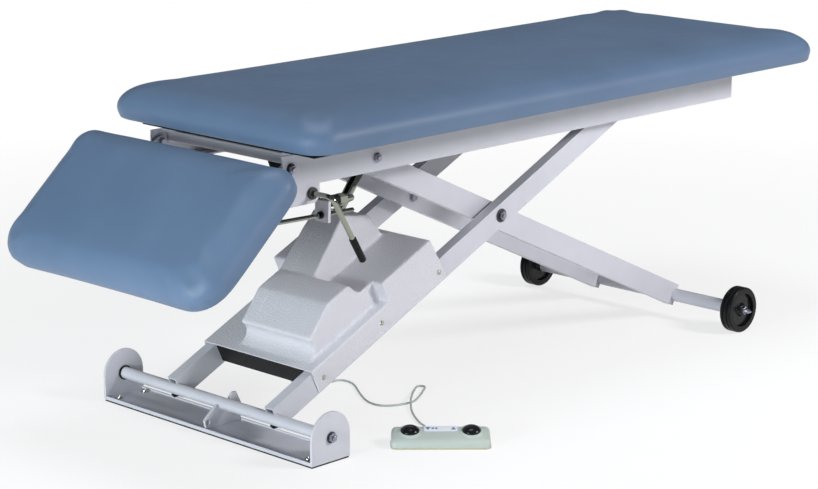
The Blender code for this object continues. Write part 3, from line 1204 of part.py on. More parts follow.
def make_cord(root):
    start, start_out = gland_exit()
    end, end_out = inlet_exit()
    straight = 3 * CORD_RADIUS
    route = [start + start_out * share for share in (GAP, straight, 2 * straight)]
    route += [*CORD_ROUTE, end + end_out * 2 * straight, end + end_out * straight, end]
    add_rod_curve("foot_cord", smooth_route(route, CORD_STEP), CORD_RADIUS, root, CORD_GREY, resolution=2)


def build():
    clear_scene()
    root = empty("table", (0, 0, 0))
    make_foot_plate(root)
    make_foot_pad(root)
    make_centre_saddle(root)
    make_pair("pivot_bolt", add_pivot_bolt, root, BRIGHT_STEEL)
    outer = empty("outer_frame", (0, 0, PIVOT_HEIGHT), None, tilt=-REST_ANGLE)
    half = BASE_HALF_WIDTH - EAR_THICKNESS - GAP
    piece("pivot_tube", add_turned(bmesh.new(), tube_profile(half, TUBE_RADIUS), (0, 0, 0), sides=TUBE_SIDES), outer, PALE_STEEL)
    make_outer_arm("outer_arm_near", -1, outer)
    make_outer_arm("outer_arm_far", 1, outer)
    make_pair("scissor_bolt", add_scissor_bolt, outer, BRIGHT_STEEL)
    make_pair("roller_pin", add_roller_pin, outer, BRIGHT_STEEL)
    make_cross_plate(outer)
    make_motor_cover(outer)
    make_control_box(outer)
    make_actuator(outer)
    for name, side in (("roller_near", -1), ("roller_far", 1)):
        spin = empty(name + "_spin", (ARM_LENGTH + UPPER_LENGTH, 0, 0), outer)
        start, end = roller_span()
        profile = [(start, BOLT_HOLE), (start, ROLLER_RADIUS), (end, ROLLER_RADIUS), (end, BOLT_HOLE)]
        profile = profile if side > 0 else mirrored(profile)
        piece(name, add_turned(bmesh.new(), profile, (0, 0, 0), sides=TUBE_SIDES, ring=True), spin, BLACK_PLASTIC)
    inner = empty("inner_frame", (SCISSOR[0], 0, SCISSOR[1]), None, tilt=REST_ANGLE)
    make_inner_arm("inner_arm_near", -1, inner)
    make_inner_arm("inner_arm_far", 1, inner)
    make_lift_lever(inner)
    make_axle(inner)
    make_pair("axle_bolt", add_axle_bolt, inner, BRIGHT_STEEL)
    make_wheel("wheel_near", -1, inner)
    make_wheel("wheel_far", 1, inner)
    top = empty("top_frame", TOP_FRAME_PLACE)
    make_rail("rail_near", -1, top)
    make_rail("rail_far", 1, top)
    make_cross_members(top)
    make_pair("top_pivot_bolt", add_top_pivot_bolt, top, BRIGHT_STEEL)
    make_pair("hinge_bolt", add_hinge_bolt, top, BRIGHT_STEEL)
    make_lever_bush(top)
    make_lock_bracket(top)
    make_top(top)
    drop = empty("drop_frame", (HINGE[0], 0, HINGE[1]), top, tilt=-DROP_ANGLE)
    make_drop_section(drop)
    make_support_rod(top)
    make_rod_lock(top)
    make_release_lever(top)
    make_pedal(root)
    make_cord(root)


build()
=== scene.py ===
# A powered treatment table: finishes, cushions, moulded cover, cord and small fittings.
# Every place is in metres, with Z up and the floor at zero; X runs from the base to the wheels.
import json
import math

import bmesh
import bpy
from bpy.props import FloatProperty, FloatVectorProperty, IntProperty, PointerProperty
from mathutils import Matrix, Vector


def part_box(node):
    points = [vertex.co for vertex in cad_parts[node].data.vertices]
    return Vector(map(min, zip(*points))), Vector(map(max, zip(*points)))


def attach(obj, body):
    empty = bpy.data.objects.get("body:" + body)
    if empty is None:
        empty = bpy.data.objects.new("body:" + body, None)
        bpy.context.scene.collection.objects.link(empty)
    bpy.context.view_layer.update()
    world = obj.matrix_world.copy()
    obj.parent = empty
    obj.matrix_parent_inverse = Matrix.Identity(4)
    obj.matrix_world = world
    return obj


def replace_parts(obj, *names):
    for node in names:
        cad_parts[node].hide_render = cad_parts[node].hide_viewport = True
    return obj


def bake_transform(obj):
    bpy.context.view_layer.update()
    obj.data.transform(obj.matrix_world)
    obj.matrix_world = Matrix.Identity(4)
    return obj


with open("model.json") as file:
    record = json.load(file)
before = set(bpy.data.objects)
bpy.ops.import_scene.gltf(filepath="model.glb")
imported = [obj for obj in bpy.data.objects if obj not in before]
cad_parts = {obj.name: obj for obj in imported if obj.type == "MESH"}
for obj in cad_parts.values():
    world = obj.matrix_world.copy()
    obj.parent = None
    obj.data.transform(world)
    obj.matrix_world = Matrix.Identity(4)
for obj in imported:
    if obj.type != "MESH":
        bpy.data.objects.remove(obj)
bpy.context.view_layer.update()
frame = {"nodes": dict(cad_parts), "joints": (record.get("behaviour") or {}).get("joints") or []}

bl_info = {
    "name": "Treatment Table",
    "version": (1, 0, 0),
    "blender": (4, 5, 0),
    "location": "View3D > Sidebar > Treatment Table",
    "description": "Dresses a scissor-lift treatment table with its finishes, padding and fittings",
    "category": "Object",
}

# The scissor lift's places, as the frame holds them, and the angles that it is shown at
JOINTS = {joint["name"]: joint for joint in frame["joints"]}
REST_ANGLE = math.radians(25)
BASE_PIVOT = Vector(JOINTS["lift"]["pos_m"])
HINGE = Vector(JOINTS["drop_hinge"]["pos_m"])
DROP_ANGLE = math.radians(42)
LEVER_SHAFT = Vector(JOINTS["lever_turn"]["pos_m"])
LOCK_PIVOT = Vector(JOINTS["lock_swing"]["pos_m"])

# Frames that the tilted pieces are built in: along the outer arms, along the drop section and round the pedal
OUTER = Matrix.Translation(BASE_PIVOT) @ Matrix.Rotation(-REST_ANGLE, 4, "Y")
DROP = Matrix.Translation(HINGE) @ Matrix.Rotation(-DROP_ANGLE, 4, "Y")
PEDAL_TURN = math.radians(-45)
PEDAL_CENTRE = Vector((0.2487, -0.423, 0))
PEDAL = Matrix.Translation(PEDAL_CENTRE) @ Matrix.Rotation(PEDAL_TURN, 4, "Z")

# The photograph's view, in a frame of 818 by 489 pixels
PHOTO_WIDTH = 818
FOCAL_PIXELS = 2407.8
SENSOR_WIDTH = 36.0
CAMERA_PLACE = (-3.3177, -3.8089, 1.6331)
CAMERA_YAW = 0.7975
CAMERA_PITCH = 0.2376

# The pedal's cord: the route's own points, between the gland and the pedal's inlet, at the cord's height on the
# floor where none is given
CORD_DIAMETER = 0.005
CORD_STEP = 0.008
CORD_HEIGHT = 0.003
CORD_ROUTE = (
    (0.262, 0.099, 0.088), (0.282, 0.098, 0.046), (0.304, 0.095, 0.015), (0.332, 0.09, 0.004), (0.366, 0.081),
    (0.4, 0.073), (0.421, 0.071), (0.43, 0.052), (0.42, 0.017), (0.38, -0.044), (0.352, -0.096),
    (0.349, -0.134), (0.366, -0.155), (0.393, -0.167), (0.425, -0.17), (0.465, -0.151), (0.503, -0.1265),
    (0.522, -0.1128), (0.526, -0.103), (0.52, -0.0958), (0.51, -0.0972), (0.49, -0.11), (0.465, -0.128, 0.004),
    (0.438, -0.152, 0.009), (0.414, -0.172, 0.0095), (0.392, -0.194, 0.005), (0.372, -0.216), (0.347, -0.249),
    (0.322, -0.29), (0.306, -0.328, 0.004), (0.297, -0.36, 0.008),
)
GLAND_TIP = (0.25, 0.1, -0.0283)
INLET_REACH = 0.0413
INLET_HEIGHT = 0.01
CURVE_PARTS = 20


class TableSizes(bpy.types.PropertyGroup):
    """Sizes of the dressing that a user would change"""

    cushion_swell: FloatProperty(
        name="Cushion swell", description="How far the padding may bulge", default=0.006, unit="LENGTH")
    cover_round: IntProperty(
        name="Cover rounding", description="Smoothing passes on the moulded cover", default=11)
    cover_skin: FloatProperty(
        name="Cover wall", description="Wall of the moulded cover", default=0.003, unit="LENGTH")


def colour(label, use, shown):
    """A colour that a user would change."""
    return FloatVectorProperty(name=label, description=use, subtype="COLOR", default=shown)


class TableColours(bpy.types.PropertyGroup):
    """Colours of the finishes"""

    paint: colour("Paint", "Powder coat of the frame", (0.58, 0.585, 0.64))
    cover: colour("Cover", "Moulded motor cover", (0.66, 0.655, 0.705))
    vinyl: colour("Vinyl", "Upholstery", (0.094, 0.153, 0.252))
    vinyl_light: colour("Vinyl bloom", "Paler tone in the upholstery", (0.108, 0.171, 0.278))
    steel: colour("Steel", "Zinc plated fasteners", (0.34, 0.34, 0.41))
    chrome: colour("Chrome", "Polished rods", (0.32, 0.335, 0.28))
    black: colour("Black", "Black steel and plastic", (0.007, 0.007, 0.008))
    rubber: colour("Rubber", "Tyres, grip and feet", (0.006, 0.006, 0.0065))
    pedal: colour("Pedal", "Pedal housing", (0.48, 0.54, 0.5))
    pedal_rim: colour("Pedal rim", "Base rim of the pedal", (0.5, 0.45, 0.33))
    label: colour("Label", "White label", (0.8, 0.83, 0.88))
    mark: colour("Marks", "Marks on the label", (0.06, 0.16, 0.36))
    cord: colour("Cord", "Grey control cord", (0.5, 0.55, 0.51))
    floor: colour("Floor", "Pale floor", (0.97, 0.97, 0.98))


def sizes():
    return bpy.context.scene.table_sizes


def colours():
    return bpy.context.scene.table_colours


# Shader maths
class Flow:
    """A socket that can be used in sums, so that shader maths reads as an expression."""

    def __init__(self, tree, socket):
        self.tree = tree
        self.socket = socket

    def maths(self, operation, first, second):
        return Nodes(self.tree).node("ShaderNodeMath", {"operation": operation}, {0: first, 1: second})

    def __add__(self, other):
        return self.maths("ADD", self, other)

    def __radd__(self, other):
        return self.maths("ADD", other, self)

    def __sub__(self, other):
        return self.maths("SUBTRACT", self, other)

    def __rsub__(self, other):
        return self.maths("SUBTRACT", other, self)

    def __mul__(self, other):
        return self.maths("MULTIPLY", self, other)

    def __rmul__(self, other):
        return self.maths("MULTIPLY", other, self)

    def most(self, other):
        return self.maths("MAXIMUM", self, other)


# Places of a colour Mix's sockets, which share their names with those of its other kinds
MIX_SHARE, MIX_FIRST, MIX_SECOND, MIX_COLOUR = 0, 6, 7, 2


class Nodes:
    """A node tree, with nodes added one by one."""

    def __init__(self, tree):
        self.tree = tree

    def node(self, kind, settings=None, values=None, output=0):
        """Add a node: its settings first, then the values or links of its sockets."""
        made = self.tree.nodes.new(kind)
        for key, value in (settings or {}).items():
            if key == "stops":
                for element, (place, tone) in zip(made.color_ramp.elements, value):
                    element.position = place
                    element.color = (tone, tone, tone, 1)
            else:
                setattr(made, key, value)
        for key, value in (values or {}).items():
            if isinstance(value, Flow):
                self.tree.links.new(value.socket, made.inputs[key])
            else:
                made.inputs[key].default_value = value
        return Flow(self.tree, made.outputs[output])

    def seen_by(self, *rays):
        """One for the given kinds of ray, nought for the others."""
        seen, *others = [self.node("ShaderNodeLightPath", output=ray) for ray in rays]
        for other in others:
            seen = seen.most(other)
        return seen


class Finish(Nodes):
    """A material whose Principled shader takes uniform values, with nodes added one by one."""

    def __init__(self, name, colour, roughness, metallic, values):
        self.material = bpy.data.materials.new(name)
        self.material.use_nodes = True
        super().__init__(self.material.node_tree)
        self.shader = self.tree.nodes["Principled BSDF"]
        values = {"Base Color": (*colour, 1), "Roughness": roughness, "Metallic": metallic, **values}
        for socket, value in values.items():
            self.shader.inputs[socket].default_value = value

    def feed(self, socket, flow):
        self.tree.links.new(flow.socket, self.shader.inputs[socket])

    def place(self):
        return self.node("ShaderNodeTexCoord", output="Object")

    def noise(self, scale, detail, fineness=0.55):
        return self.node("ShaderNodeTexNoise", {}, {
            "Vector": self.place(), "Scale": scale, "Detail": detail, "Roughness": fineness})

    def ramp(self, flow, low, high):
        return self.node("ShaderNodeValToRGB", {"stops": ((low, 0.0), (high, 1.0))}, {"Fac": flow})

    def mix(self, share, first, second):
        return self.node("ShaderNodeMix", {"data_type": "RGBA"}, {
            MIX_SHARE: share, MIX_FIRST: (*first, 1), MIX_SECOND: (*second, 1)}, output=MIX_COLOUR)

    def bump(self, height, distance, strength):
        flow = self.node("ShaderNodeBump", {}, {"Height": height, "Distance": distance, "Strength": strength})
        self.feed("Normal", flow)


def shade(colour, share):
    """A colour made darker or lighter by a share; a colour given in its place is taken as it is."""
    return share if isinstance(share, tuple) else tuple(min(channel * share, 1.0) for channel in colour)


# Finishes: the record's slot, the colour (a property's name or the colour itself), even roughness, metal, tint
# (scale, detail, darkest and lightest tone), spread of the roughness (scale, detail, reach and least), grain
# (scale, detail, depth and strength) and further values.
LOOKS = {
    "powder_coat": ("pale_paint", "paint", 0.42, 0, (9, 2, 0.97, 1.03), (60, 2, 0.1, 0.36), (900, 2, 0.00012, 0.5),
                    {"stops": (0.35, 0.7), "Coat Weight": 0.15, "Coat Roughness": 0.25}),
    "cover_moulding": ("cover_plastic", "cover", 0.45, 0, (300, 2, 0.965, 1.03), (40, 2, 0.12, 0.3),
                       (280, 2, 0.0024, 0.9), {"stops": (0.35, 0.65), "fineness": 0.6}),
    "zinc": ("bright_steel", "steel", 0.33, 1, (55, 3, 0.82, 1.12), (140, 3, 0.22, 0.22), (700, 2, 0.00008, 0.4), {}),
    "brass_zinc": ("bright_steel", (0.48, 0.5, 0.43), 0.3, 1, (90, 3, (0.34, 0.36, 0.3), (0.58, 0.6, 0.52)),
                   (160, 2, 0.2, 0.22), None, {}),
    "chrome_plate": ("chrome", "chrome", 0.1, 1, (30, 3, 0.9, 1), (220, 3, 0.06, 0.05), None, {}),
    "black_steel": ("dark_steel", "black", 0.45, 0, (35, 3, 1, 1.9), (90, 2, 0.2, 0.34), (700, 2, 0.0001, 0.5),
                    {"Specular IOR Level": 0.1}),
    "moulded_black": ("black_plastic", "black", 0.3, 0, (25, 2, 1, 1.5), (80, 2, 0.1, 0.14), (500, 2, 0.00006, 0.4),
                      {"Specular IOR Level": 0.24}),
    "soft_rubber": ("rubber", "rubber", 0.3, 0, (40, 3, 1, 1.8), (60, 3, 0.15, 0.22), (600, 2, 0.00015, 0.5),
                    {"Specular IOR Level": 0.16}),
    "painted_board": ("wood", "black", 0.6, 0, (20, 3, 1, 1.7), (100, 3, 0.2, 0.5), (160, 4, 0.0002, 0.5),
                      {"Specular IOR Level": 0.06}),
    "pedal_moulding": ("pedal_plastic", "pedal", 0.5, 0, (22, 3, 0.94, 1.05), (70, 2, 0.14, 0.42),
                       (800, 2, 0.00018, 0.6), {}),
    "pedal_base": ("pedal_plastic", "pedal_rim", 0.55, 0, (40, 3, 0.92, 1.06), (70, 2, 0.14, 0.46), None, {}),
    "label_film": ("pedal_plastic", "label", 0.35, 0, (30, 2, 0.96, 1), (90, 2, 0.1, 0.3), None, {}),
    "label_mark": ("pedal_plastic", "mark", 0.35, 0, (80, 2, 1, 1.3), None, None, {}),
    "cord_jacket": ("cord_grey", "cord", 0.5, 0, (60, 3, 0.9, 1.1), (120, 2, 0.16, 0.4), (900, 2, 0.0001, 0.4), {}),
}

FLOOR_GLOW = 0.74
FLOOR_CENTRE = (0.6, 0.0, 0.0)
SHADOW_REACH = (1.0, 3.2)
WORLD_LIGHT = 0.15


def noisy_finish(name, colour, roughness, metallic, tint, spread, grain, values):
    """A finish made from its row of the table."""
    colour = getattr(colours(), colour) if isinstance(colour, str) else colour
    values = dict(values)
    stops, fineness = values.pop("stops", None), values.pop("fineness", 0.55)
    made = Finish(name, colour, roughness, metallic, values)
    scale, detail, darkest, lightest = tint
    share = made.noise(scale, detail, fineness)
    if stops:
        share = made.ramp(share, *stops)
    made.feed("Base Color", made.mix(share, shade(colour, darkest), shade(colour, lightest)))
    if spread:
        scale, detail, reach, least = spread
        made.feed("Roughness", made.noise(scale, detail) * reach + least)
    if grain:
        scale, detail, depth, strength = grain
        made.bump(made.noise(scale, detail, fineness), depth, strength)
    return made


def vinyl():
    """Soft vinyl with fine pores and shallow creases."""
    colour, bloom = colours().vinyl, colours().vinyl_light
    made = Finish("vinyl", colour, 0.36, 0, {"Specular IOR Level": 0.38})
    made.feed("Base Color", made.mix(made.ramp(made.noise(5, 3), 0.35, 0.7), colour, bloom))
    pores = made.node("ShaderNodeTexVoronoi", {"feature": "DISTANCE_TO_EDGE"}, {
        "Vector": made.place(), "Scale": 520.0})
    creases = made.noise(70, 3)
    made.feed("Roughness", made.noise(30, 2) * 0.12 + 0.36)
    made.bump(made.ramp(pores, 0.0, 0.12) * 0.6 + creases * 0.8, 0.0005, 0.35)
    return made


def floor_finish():
    """A pale floor that keeps the object's shadow; the camera and mirrors see it close to white."""
    made = Finish("floor_finish", colours().floor, 0.75, 0, {"Specular IOR Level": 0.1})
    seen = made.seen_by("Is Camera Ray", "Is Glossy Ray", "Is Transmission Ray")
    white = made.node("ShaderNodeEmission", {}, {"Color": (1, 1, 1, 1), "Strength": 1.0})
    lit = Flow(made.tree, made.shader.outputs[0])
    away = made.node("ShaderNodeVectorMath", {"operation": "DISTANCE"}, {0: made.place(), 1: FLOOR_CENTRE},
                     output="Value")
    glow = made.node("ShaderNodeMapRange", {}, {
        "Value": away, "From Min": SHADOW_REACH[0], "From Max": SHADOW_REACH[1], "To Min": FLOOR_GLOW, "To Max": 1.0})
    both = made.node("ShaderNodeMixShader", {}, {0: seen * glow, 1: lit, 2: white})
    made.tree.links.new(both.socket, made.tree.nodes["Material Output"].inputs["Surface"])
    return made


OTHER_LOOKS = {"vinyl": vinyl, "floor_finish": floor_finish}


def finish(name):
    """The material of a finish, made when it is first asked for and then shared."""
    found = bpy.data.materials.get(name)
    if found:
        return found
    if name in LOOKS:
        return noisy_finish(name, *LOOKS[name][1:]).material
    return OTHER_LOOKS[name]().material


# Shapes: corners nearer than this are welded, and each smoothing pass goes this far
WELD = 1e-6
SMOOTHING = 0.5


class Form:
    """A mesh in the making, in a frame of its own, that becomes one named piece."""

    def __init__(self, matrix=None):
        self.mesh = bmesh.new()
        self.matrix = matrix or Matrix.Identity(4)

    def corners(self, places):
        """A ring of corners at the given places, in their order."""
        return [self.mesh.verts.new(place) for place in places]

    def skin(self, rings, ends=(0, -1)):
        """Walls from each ring of corners to the next, and a face over each of the rings named as ends."""
        for first, second in zip(rings, rings[1:]):
            for index in range(len(first)):
                after = (index + 1) % len(first)
                self.mesh.faces.new((first[index], first[after], second[after], second[index]))
        for end in ends:
            self.mesh.faces.new(rings[end])
        return self

    def prism(self, outline, start, end, axis="Y"):
        """Two copies of an outline, joined: across Y it holds x and z, across Z x and y."""
        order = {"Y": (0, 2, 1), "Z": (0, 1, 2)}[axis]
        return self.skin([self.corners([(*point, reach)[index] for index in order] for point in outline)
                          for reach in (start, end)])

    def turned(self, profile, centre=(0, 0, 0), axis="Y", sides=32, turn=0.0):
        """A profile of places along an axis and radii, spun round it."""
        rings = []
        for along, radius in profile:
            ring = []
            for index in range(sides if radius else 1):
                angle = turn + 2 * math.pi * index / sides
                across, up = radius * math.cos(angle), radius * math.sin(angle)
                place = {"X": (along, across, up), "Y": (across, along, up), "Z": (across, up, along)}[axis]
                ring.append(self.mesh.verts.new(Vector(place) + Vector(centre)))
            rings.append(ring)
        for first, second in zip(rings, rings[1:]):
            for index in range(sides):
                after = (index + 1) % sides
                corners = [first[index % len(first)], first[after % len(first)],
                           second[after % len(second)], second[index % len(second)]]
                unique = [corner for place, corner in enumerate(corners) if corner not in corners[:place]]
                if len(unique) > 2:
                    self.mesh.faces.new(unique)
        return self

    def ring(self, profile, centre=(0, 0, 0), axis="Y", sides=32):
        """A closed profile spun round an axis."""
        return self.turned([*profile, profile[0]], centre, axis, sides)

    def mesh_data(self, name):
        """The finished mesh, with its faces turned outwards; the form is used up."""
        bmesh.ops.recalc_face_normals(self.mesh, faces=self.mesh.faces)
        made = bpy.data.meshes.new(name)
        self.mesh.to_mesh(made)
        self.mesh.free()
        return made

    def done(self, name, surface, body, bevel=0.0, angle=40, weld=True):
        """The form as a piece of the table."""
        if weld:
            bmesh.ops.remove_doubles(self.mesh, verts=self.mesh.verts, dist=WELD)
        made = self.mesh_data(name)
        made.transform(self.matrix)
        return settle(name, made, surface, body, bevel, angle)


def added(name, data):
    """A new object in the scene."""
    made = bpy.data.objects.new(name, data)
    bpy.context.scene.collection.objects.link(made)
    return made


def modify(made, kind, **settings):
    """Give an object a modifier with its settings."""
    modifier = made.modifiers.new(kind.lower(), kind)
    for key, value in settings.items():
        setattr(modifier, key, value)


def settle(name, mesh, surface, body, bevel=0.0, angle=40, segments=2):
    """Give a mesh its object, shading, finish, edge rounding and body."""
    mesh.shade_smooth()
    mesh.set_sharp_from_angle(angle=math.radians(angle))
    mesh.materials.clear()
    mesh.materials.append(finish(surface))
    made = added(name, mesh)
    if bevel:
        modify(made, "BEVEL", width=bevel, segments=segments, limit_method="ANGLE", angle_limit=math.radians(angle),
               harden_normals=True)
    if body:
        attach(made, body)
    return made


def quarter(centre, radius, count, start):
    """Points along a quarter turn from a starting angle in degrees."""
    angles = [math.radians(start + 90 * index / (count - 1)) for index in range(count)]
    return [(centre[0] + radius * math.cos(angle), centre[1] + radius * math.sin(angle)) for angle in angles]


def rounded(low, high, radius, count):
    """A rectangle with round corners, as points in order."""
    points = []
    for corner, start in (((high[0] - radius, high[1] - radius), 0), ((low[0] + radius, high[1] - radius), 90),
                          ((low[0] + radius, low[1] + radius), 180), ((high[0] - radius, low[1] + radius), 270)):
        points += quarter(corner, radius, count, start)
    return points


def softened(node, surface, body, bevel, segments):
    """A copy of a solid with its flat faces joined and its edges rounded, standing for that solid."""
    source = frame["nodes"][node]
    form = bmesh.new()
    form.from_mesh(source.data)
    bmesh.ops.remove_doubles(form, verts=form.verts, dist=WELD)
    bmesh.ops.dissolve_limit(form, angle_limit=math.radians(1), verts=form.verts, edges=form.edges)
    mesh = bpy.data.meshes.new(node + "_dressed")
    form.to_mesh(mesh)
    form.free()
    mesh.transform(source.matrix_world)
    made = settle(node + "_dressed", mesh, surface, body, bevel, segments=segments)
    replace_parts(made, node)


def dress(rows):
    """Soften the solids of each row of a table of dressed solids."""
    for surface, body, bevel, segments, *nodes in rows:
        for node in nodes:
            softened(node, surface, body, bevel, segments)


def painted(node, surface):
    """A solid whose shape is right, shown with its finish."""
    shown = frame["nodes"][node]
    shown.data.materials.clear()
    shown.data.materials.append(finish(surface))


def tube(name, points, radius, surface, body=None, sides=12):
    """A round bar or cord along a path, as a closed mesh."""
    places = [Vector(point) for point in points]
    form = Form()
    ahead = (places[1] - places[0]).normalized()
    across = ahead.orthogonal().normalized()
    angles = [2 * math.pi * part / sides for part in range(sides)]
    rings = []
    for index, place in enumerate(places):
        before, after = places[max(index - 1, 0)], places[min(index + 1, len(places) - 1)]
        turned = (after - before).normalized()
        across = ahead.rotation_difference(turned) @ across
        ahead = turned
        beside = ahead.cross(across)
        rings.append(form.corners(place + radius * (across * math.cos(angle) + beside * math.sin(angle))
                                  for angle in angles))
    return form.skin(rings).done(name, surface, body)


def smooth_route(points, step):
    """Points at even steps along a smooth curve through the given ones."""
    places = [Vector(point) for point in points]
    fine = []
    for index in range(len(places) - 1):
        before, start = places[max(index - 1, 0)], places[index]
        end, after = places[index + 1], places[min(index + 2, len(places) - 1)]
        for part in range(CURVE_PARTS):
            t = part / CURVE_PARTS
            fine.append(0.5 * (2 * start + (end - before) * t + (2 * before - 5 * start + 4 * end - after) * t ** 2
                               + (3 * start - before - 3 * end + after) * t ** 3))
    fine.append(places[-1])
    total = sum((second - first).length for first, second in zip(fine, fine[1:]))
    count = max(int(round(total / step)), 1)
    route, walked, target = [fine[0]], 0.0, 1
    for first, second in zip(fine, fine[1:]):
        length = (second - first).length
        while target < count and walked + length >= total * target / count:
            route.append(first.lerp(second, (total * target / count - walked) / length))
            target += 1
        walked += length
    route.append(fine[-1])
    return route, total


# Operators: one for each piece or group of like pieces
class TABLE_OT_camera(bpy.types.Operator):
    """Place the camera at the photograph's view"""

    bl_idname = "table.camera"
    bl_label = "Camera"

    def execute(self, context):
        lens = bpy.data.cameras.new("photo_camera")
        lens.sensor_width = SENSOR_WIDTH
        lens.lens = FOCAL_PIXELS / PHOTO_WIDTH * SENSOR_WIDTH
        camera = added("photo_camera", lens)
        camera.location = CAMERA_PLACE
        camera.rotation_euler = (math.pi / 2 - CAMERA_PITCH, 0, -CAMERA_YAW)
        context.scene.camera = camera
        return {"FINISHED"}


class TABLE_OT_cord(bpy.types.Operator):
    """Lay the pedal's cord along the floor"""

    bl_idname = "table.cord"
    bl_label = "Control cord"

    def execute(self, context):
        start = OUTER @ Vector(GLAND_TIP)
        start_out = Vector((math.sin(REST_ANGLE), 0, -math.cos(REST_ANGLE)))
        end_out = Vector((-math.sin(PEDAL_TURN), math.cos(PEDAL_TURN), 0))
        end = PEDAL_CENTRE + Vector((0, 0, INLET_HEIGHT)) + end_out * INLET_REACH
        straight = 1.5 * CORD_DIAMETER
        points = [start, start + start_out * straight, start + start_out * 2 * straight]
        points += [(*point, CORD_HEIGHT)[:3] for point in CORD_ROUTE]
        points += [end + end_out * 2 * straight, end + end_out * straight, end]
        route, length = smooth_route(points, CORD_STEP)
        cord = tube("pedal_cord", route, CORD_DIAMETER / 2, "cord_jacket")
        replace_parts(cord, "foot_cord")
        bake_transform(cord)
        return {"FINISHED"}


FLOOR_HALF = 30.0

# Lamps: name, place, the point that each looks at, width, power and colour
LAMPS = (
    ("key_light", (2.3, -3.5, 2.5), (0.7, 0, 0.3), 1.2, 132, (1.0, 0.99, 1.0)),
    ("overhead_light", (0.4, 0.3, 4.2), (0.6, 0, 0.4), 2.2, 64, (0.92, 0.97, 1.0)),
    ("fill_light", (-3.2, -0.6, 0.65), (0.3, 0, 0.3), 1.0, 96, (0.88, 0.97, 1.0)),
)


class TABLE_OT_stage(bpy.types.Operator):
    """Lay a pale floor and set soft studio light"""

    bl_idname = "table.stage"
    bl_label = "Stage"

    def execute(self, context):
        scene = context.scene
        scene.view_settings.view_transform = "Standard"
        mesh = bpy.data.meshes.new("floor")
        mesh.from_pydata([(x * FLOOR_HALF, y * FLOOR_HALF, 0) for x, y in ((-1, -1), (1, -1), (1, 1), (-1, 1))],
                         [], [(0, 1, 2, 3)])
        mesh.materials.append(finish("floor_finish"))
        added("floor", mesh)
        world = bpy.data.worlds.new("studio")
        scene.world = world
        world.use_nodes = True
        nodes = Nodes(world.node_tree)
        seen = nodes.seen_by("Is Camera Ray", "Is Transmission Ray")
        glow = seen + (1 - seen) * WORLD_LIGHT
        background = nodes.tree.nodes["Background"]
        background.inputs["Color"].default_value = (1, 1, 1, 1)
        nodes.tree.links.new(glow.socket, background.inputs["Strength"])
        for name, place, target, size, power, tint in LAMPS:
            light = bpy.data.lights.new(name, "AREA")
            light.shape = "DISK"
            light.size = size
            light.energy = power
            light.color = tint
            made = added(name, light)
            made.location = place
            made.rotation_euler = (Vector(target) - Vector(place)).to_track_quat("-Z", "Y").to_euler()
        return {"FINISHED"}


# Cushions: how far the side is drawn in at each height above the foot, then the roll over to the top
CUSHION_SIDE = ((0.014, 0.0), (0.0063, 0.008), (0.002, 0.0182))
CUSHION_SHOULDER = 0.026
CUSHION_ROLL_REACH = 0.06
CUSHION_ROLL_RISE = 0.95
CUSHION_ROLL_STEPS = 12
# The top beyond the roll: its reach and its height, as shares of the roll's reach, half width and thickness
CUSHION_CROWN = ((2.2, 0.985), (0.7, 0.998))
CUSHION_VOXEL = 0.009
CUSHION_PASSES = 4
CORNER_STEPS = 12
CORNER_SHRINK = 0.75
CORNER_LEAST = 0.004
# The filling: pressure and quality of the cloth, its frames, the height above the foot that is held, the smoothing
# after it, and how full the cushion is
FILL_PRESSURE = 4
FILL_QUALITY = 4
FILL_FRAMES = 20
FILL_HELD = 0.006
FILL_PASSES = 3
# Each cushion: name, solid, radii of the corners at its two ends, frame and body
CUSHIONS = (
    ("main_pad", "main_cushion", (0.075, 0.075), Matrix.Identity(4), "top_frame"),
    ("drop_pad", "drop_cushion", (0.08, 0.055), DROP, "drop_section"),
)


def pad_form(low, high, corners, matrix):
    """A cushion's starting solid: drawn in at its foot, widest at its shoulder, then rounded over to its top."""
    form = Form(matrix)
    thickness, half = high[2] - low[2], high[1]
    stations = list(CUSHION_SIDE)
    rise = (thickness - CUSHION_SHOULDER) * CUSHION_ROLL_RISE
    for step in range(CUSHION_ROLL_STEPS + 1):
        angle = math.radians(90 * step / CUSHION_ROLL_STEPS)
        stations.append((CUSHION_ROLL_REACH * (1 - math.cos(angle)), CUSHION_SHOULDER + rise * math.sin(angle)))
    (first_reach, first_height), (last_reach, last_height) = CUSHION_CROWN
    stations += [(CUSHION_ROLL_REACH * first_reach, thickness * first_height),
                 (half * last_reach, thickness * last_height)]
    rings = []
    for inset, height in stations:
        ring = []
        for radius, x, turn in ((corners[1], high[0], -90), (corners[1], high[0], 0), (corners[0], low[0], 90),
                                (corners[0], low[0], 180)):
            inner = max(radius - inset * CORNER_SHRINK, CORNER_LEAST)
            centre_x = (high[0] - inset - inner) if x == high[0] else (low[0] + inset + inner)
            centre_y = (half - inset - inner) * (1 if turn in (0, 90) else -1)
            ring += form.corners((*point, low[2] + height)
                                 for point in quarter((centre_x, centre_y), inner, CORNER_STEPS, turn))
        rings.append(ring)
    return form.skin(rings)


def evaluated_mesh(made):
    graph = bpy.context.evaluated_depsgraph_get()
    return bpy.data.meshes.new_from_object(made.evaluated_get(graph), preserve_all_data_layers=False, depsgraph=graph)


def applied(made):
    """Keep the mesh that an object's modifiers make."""
    made.data = evaluated_mesh(made)
    made.modifiers.clear()


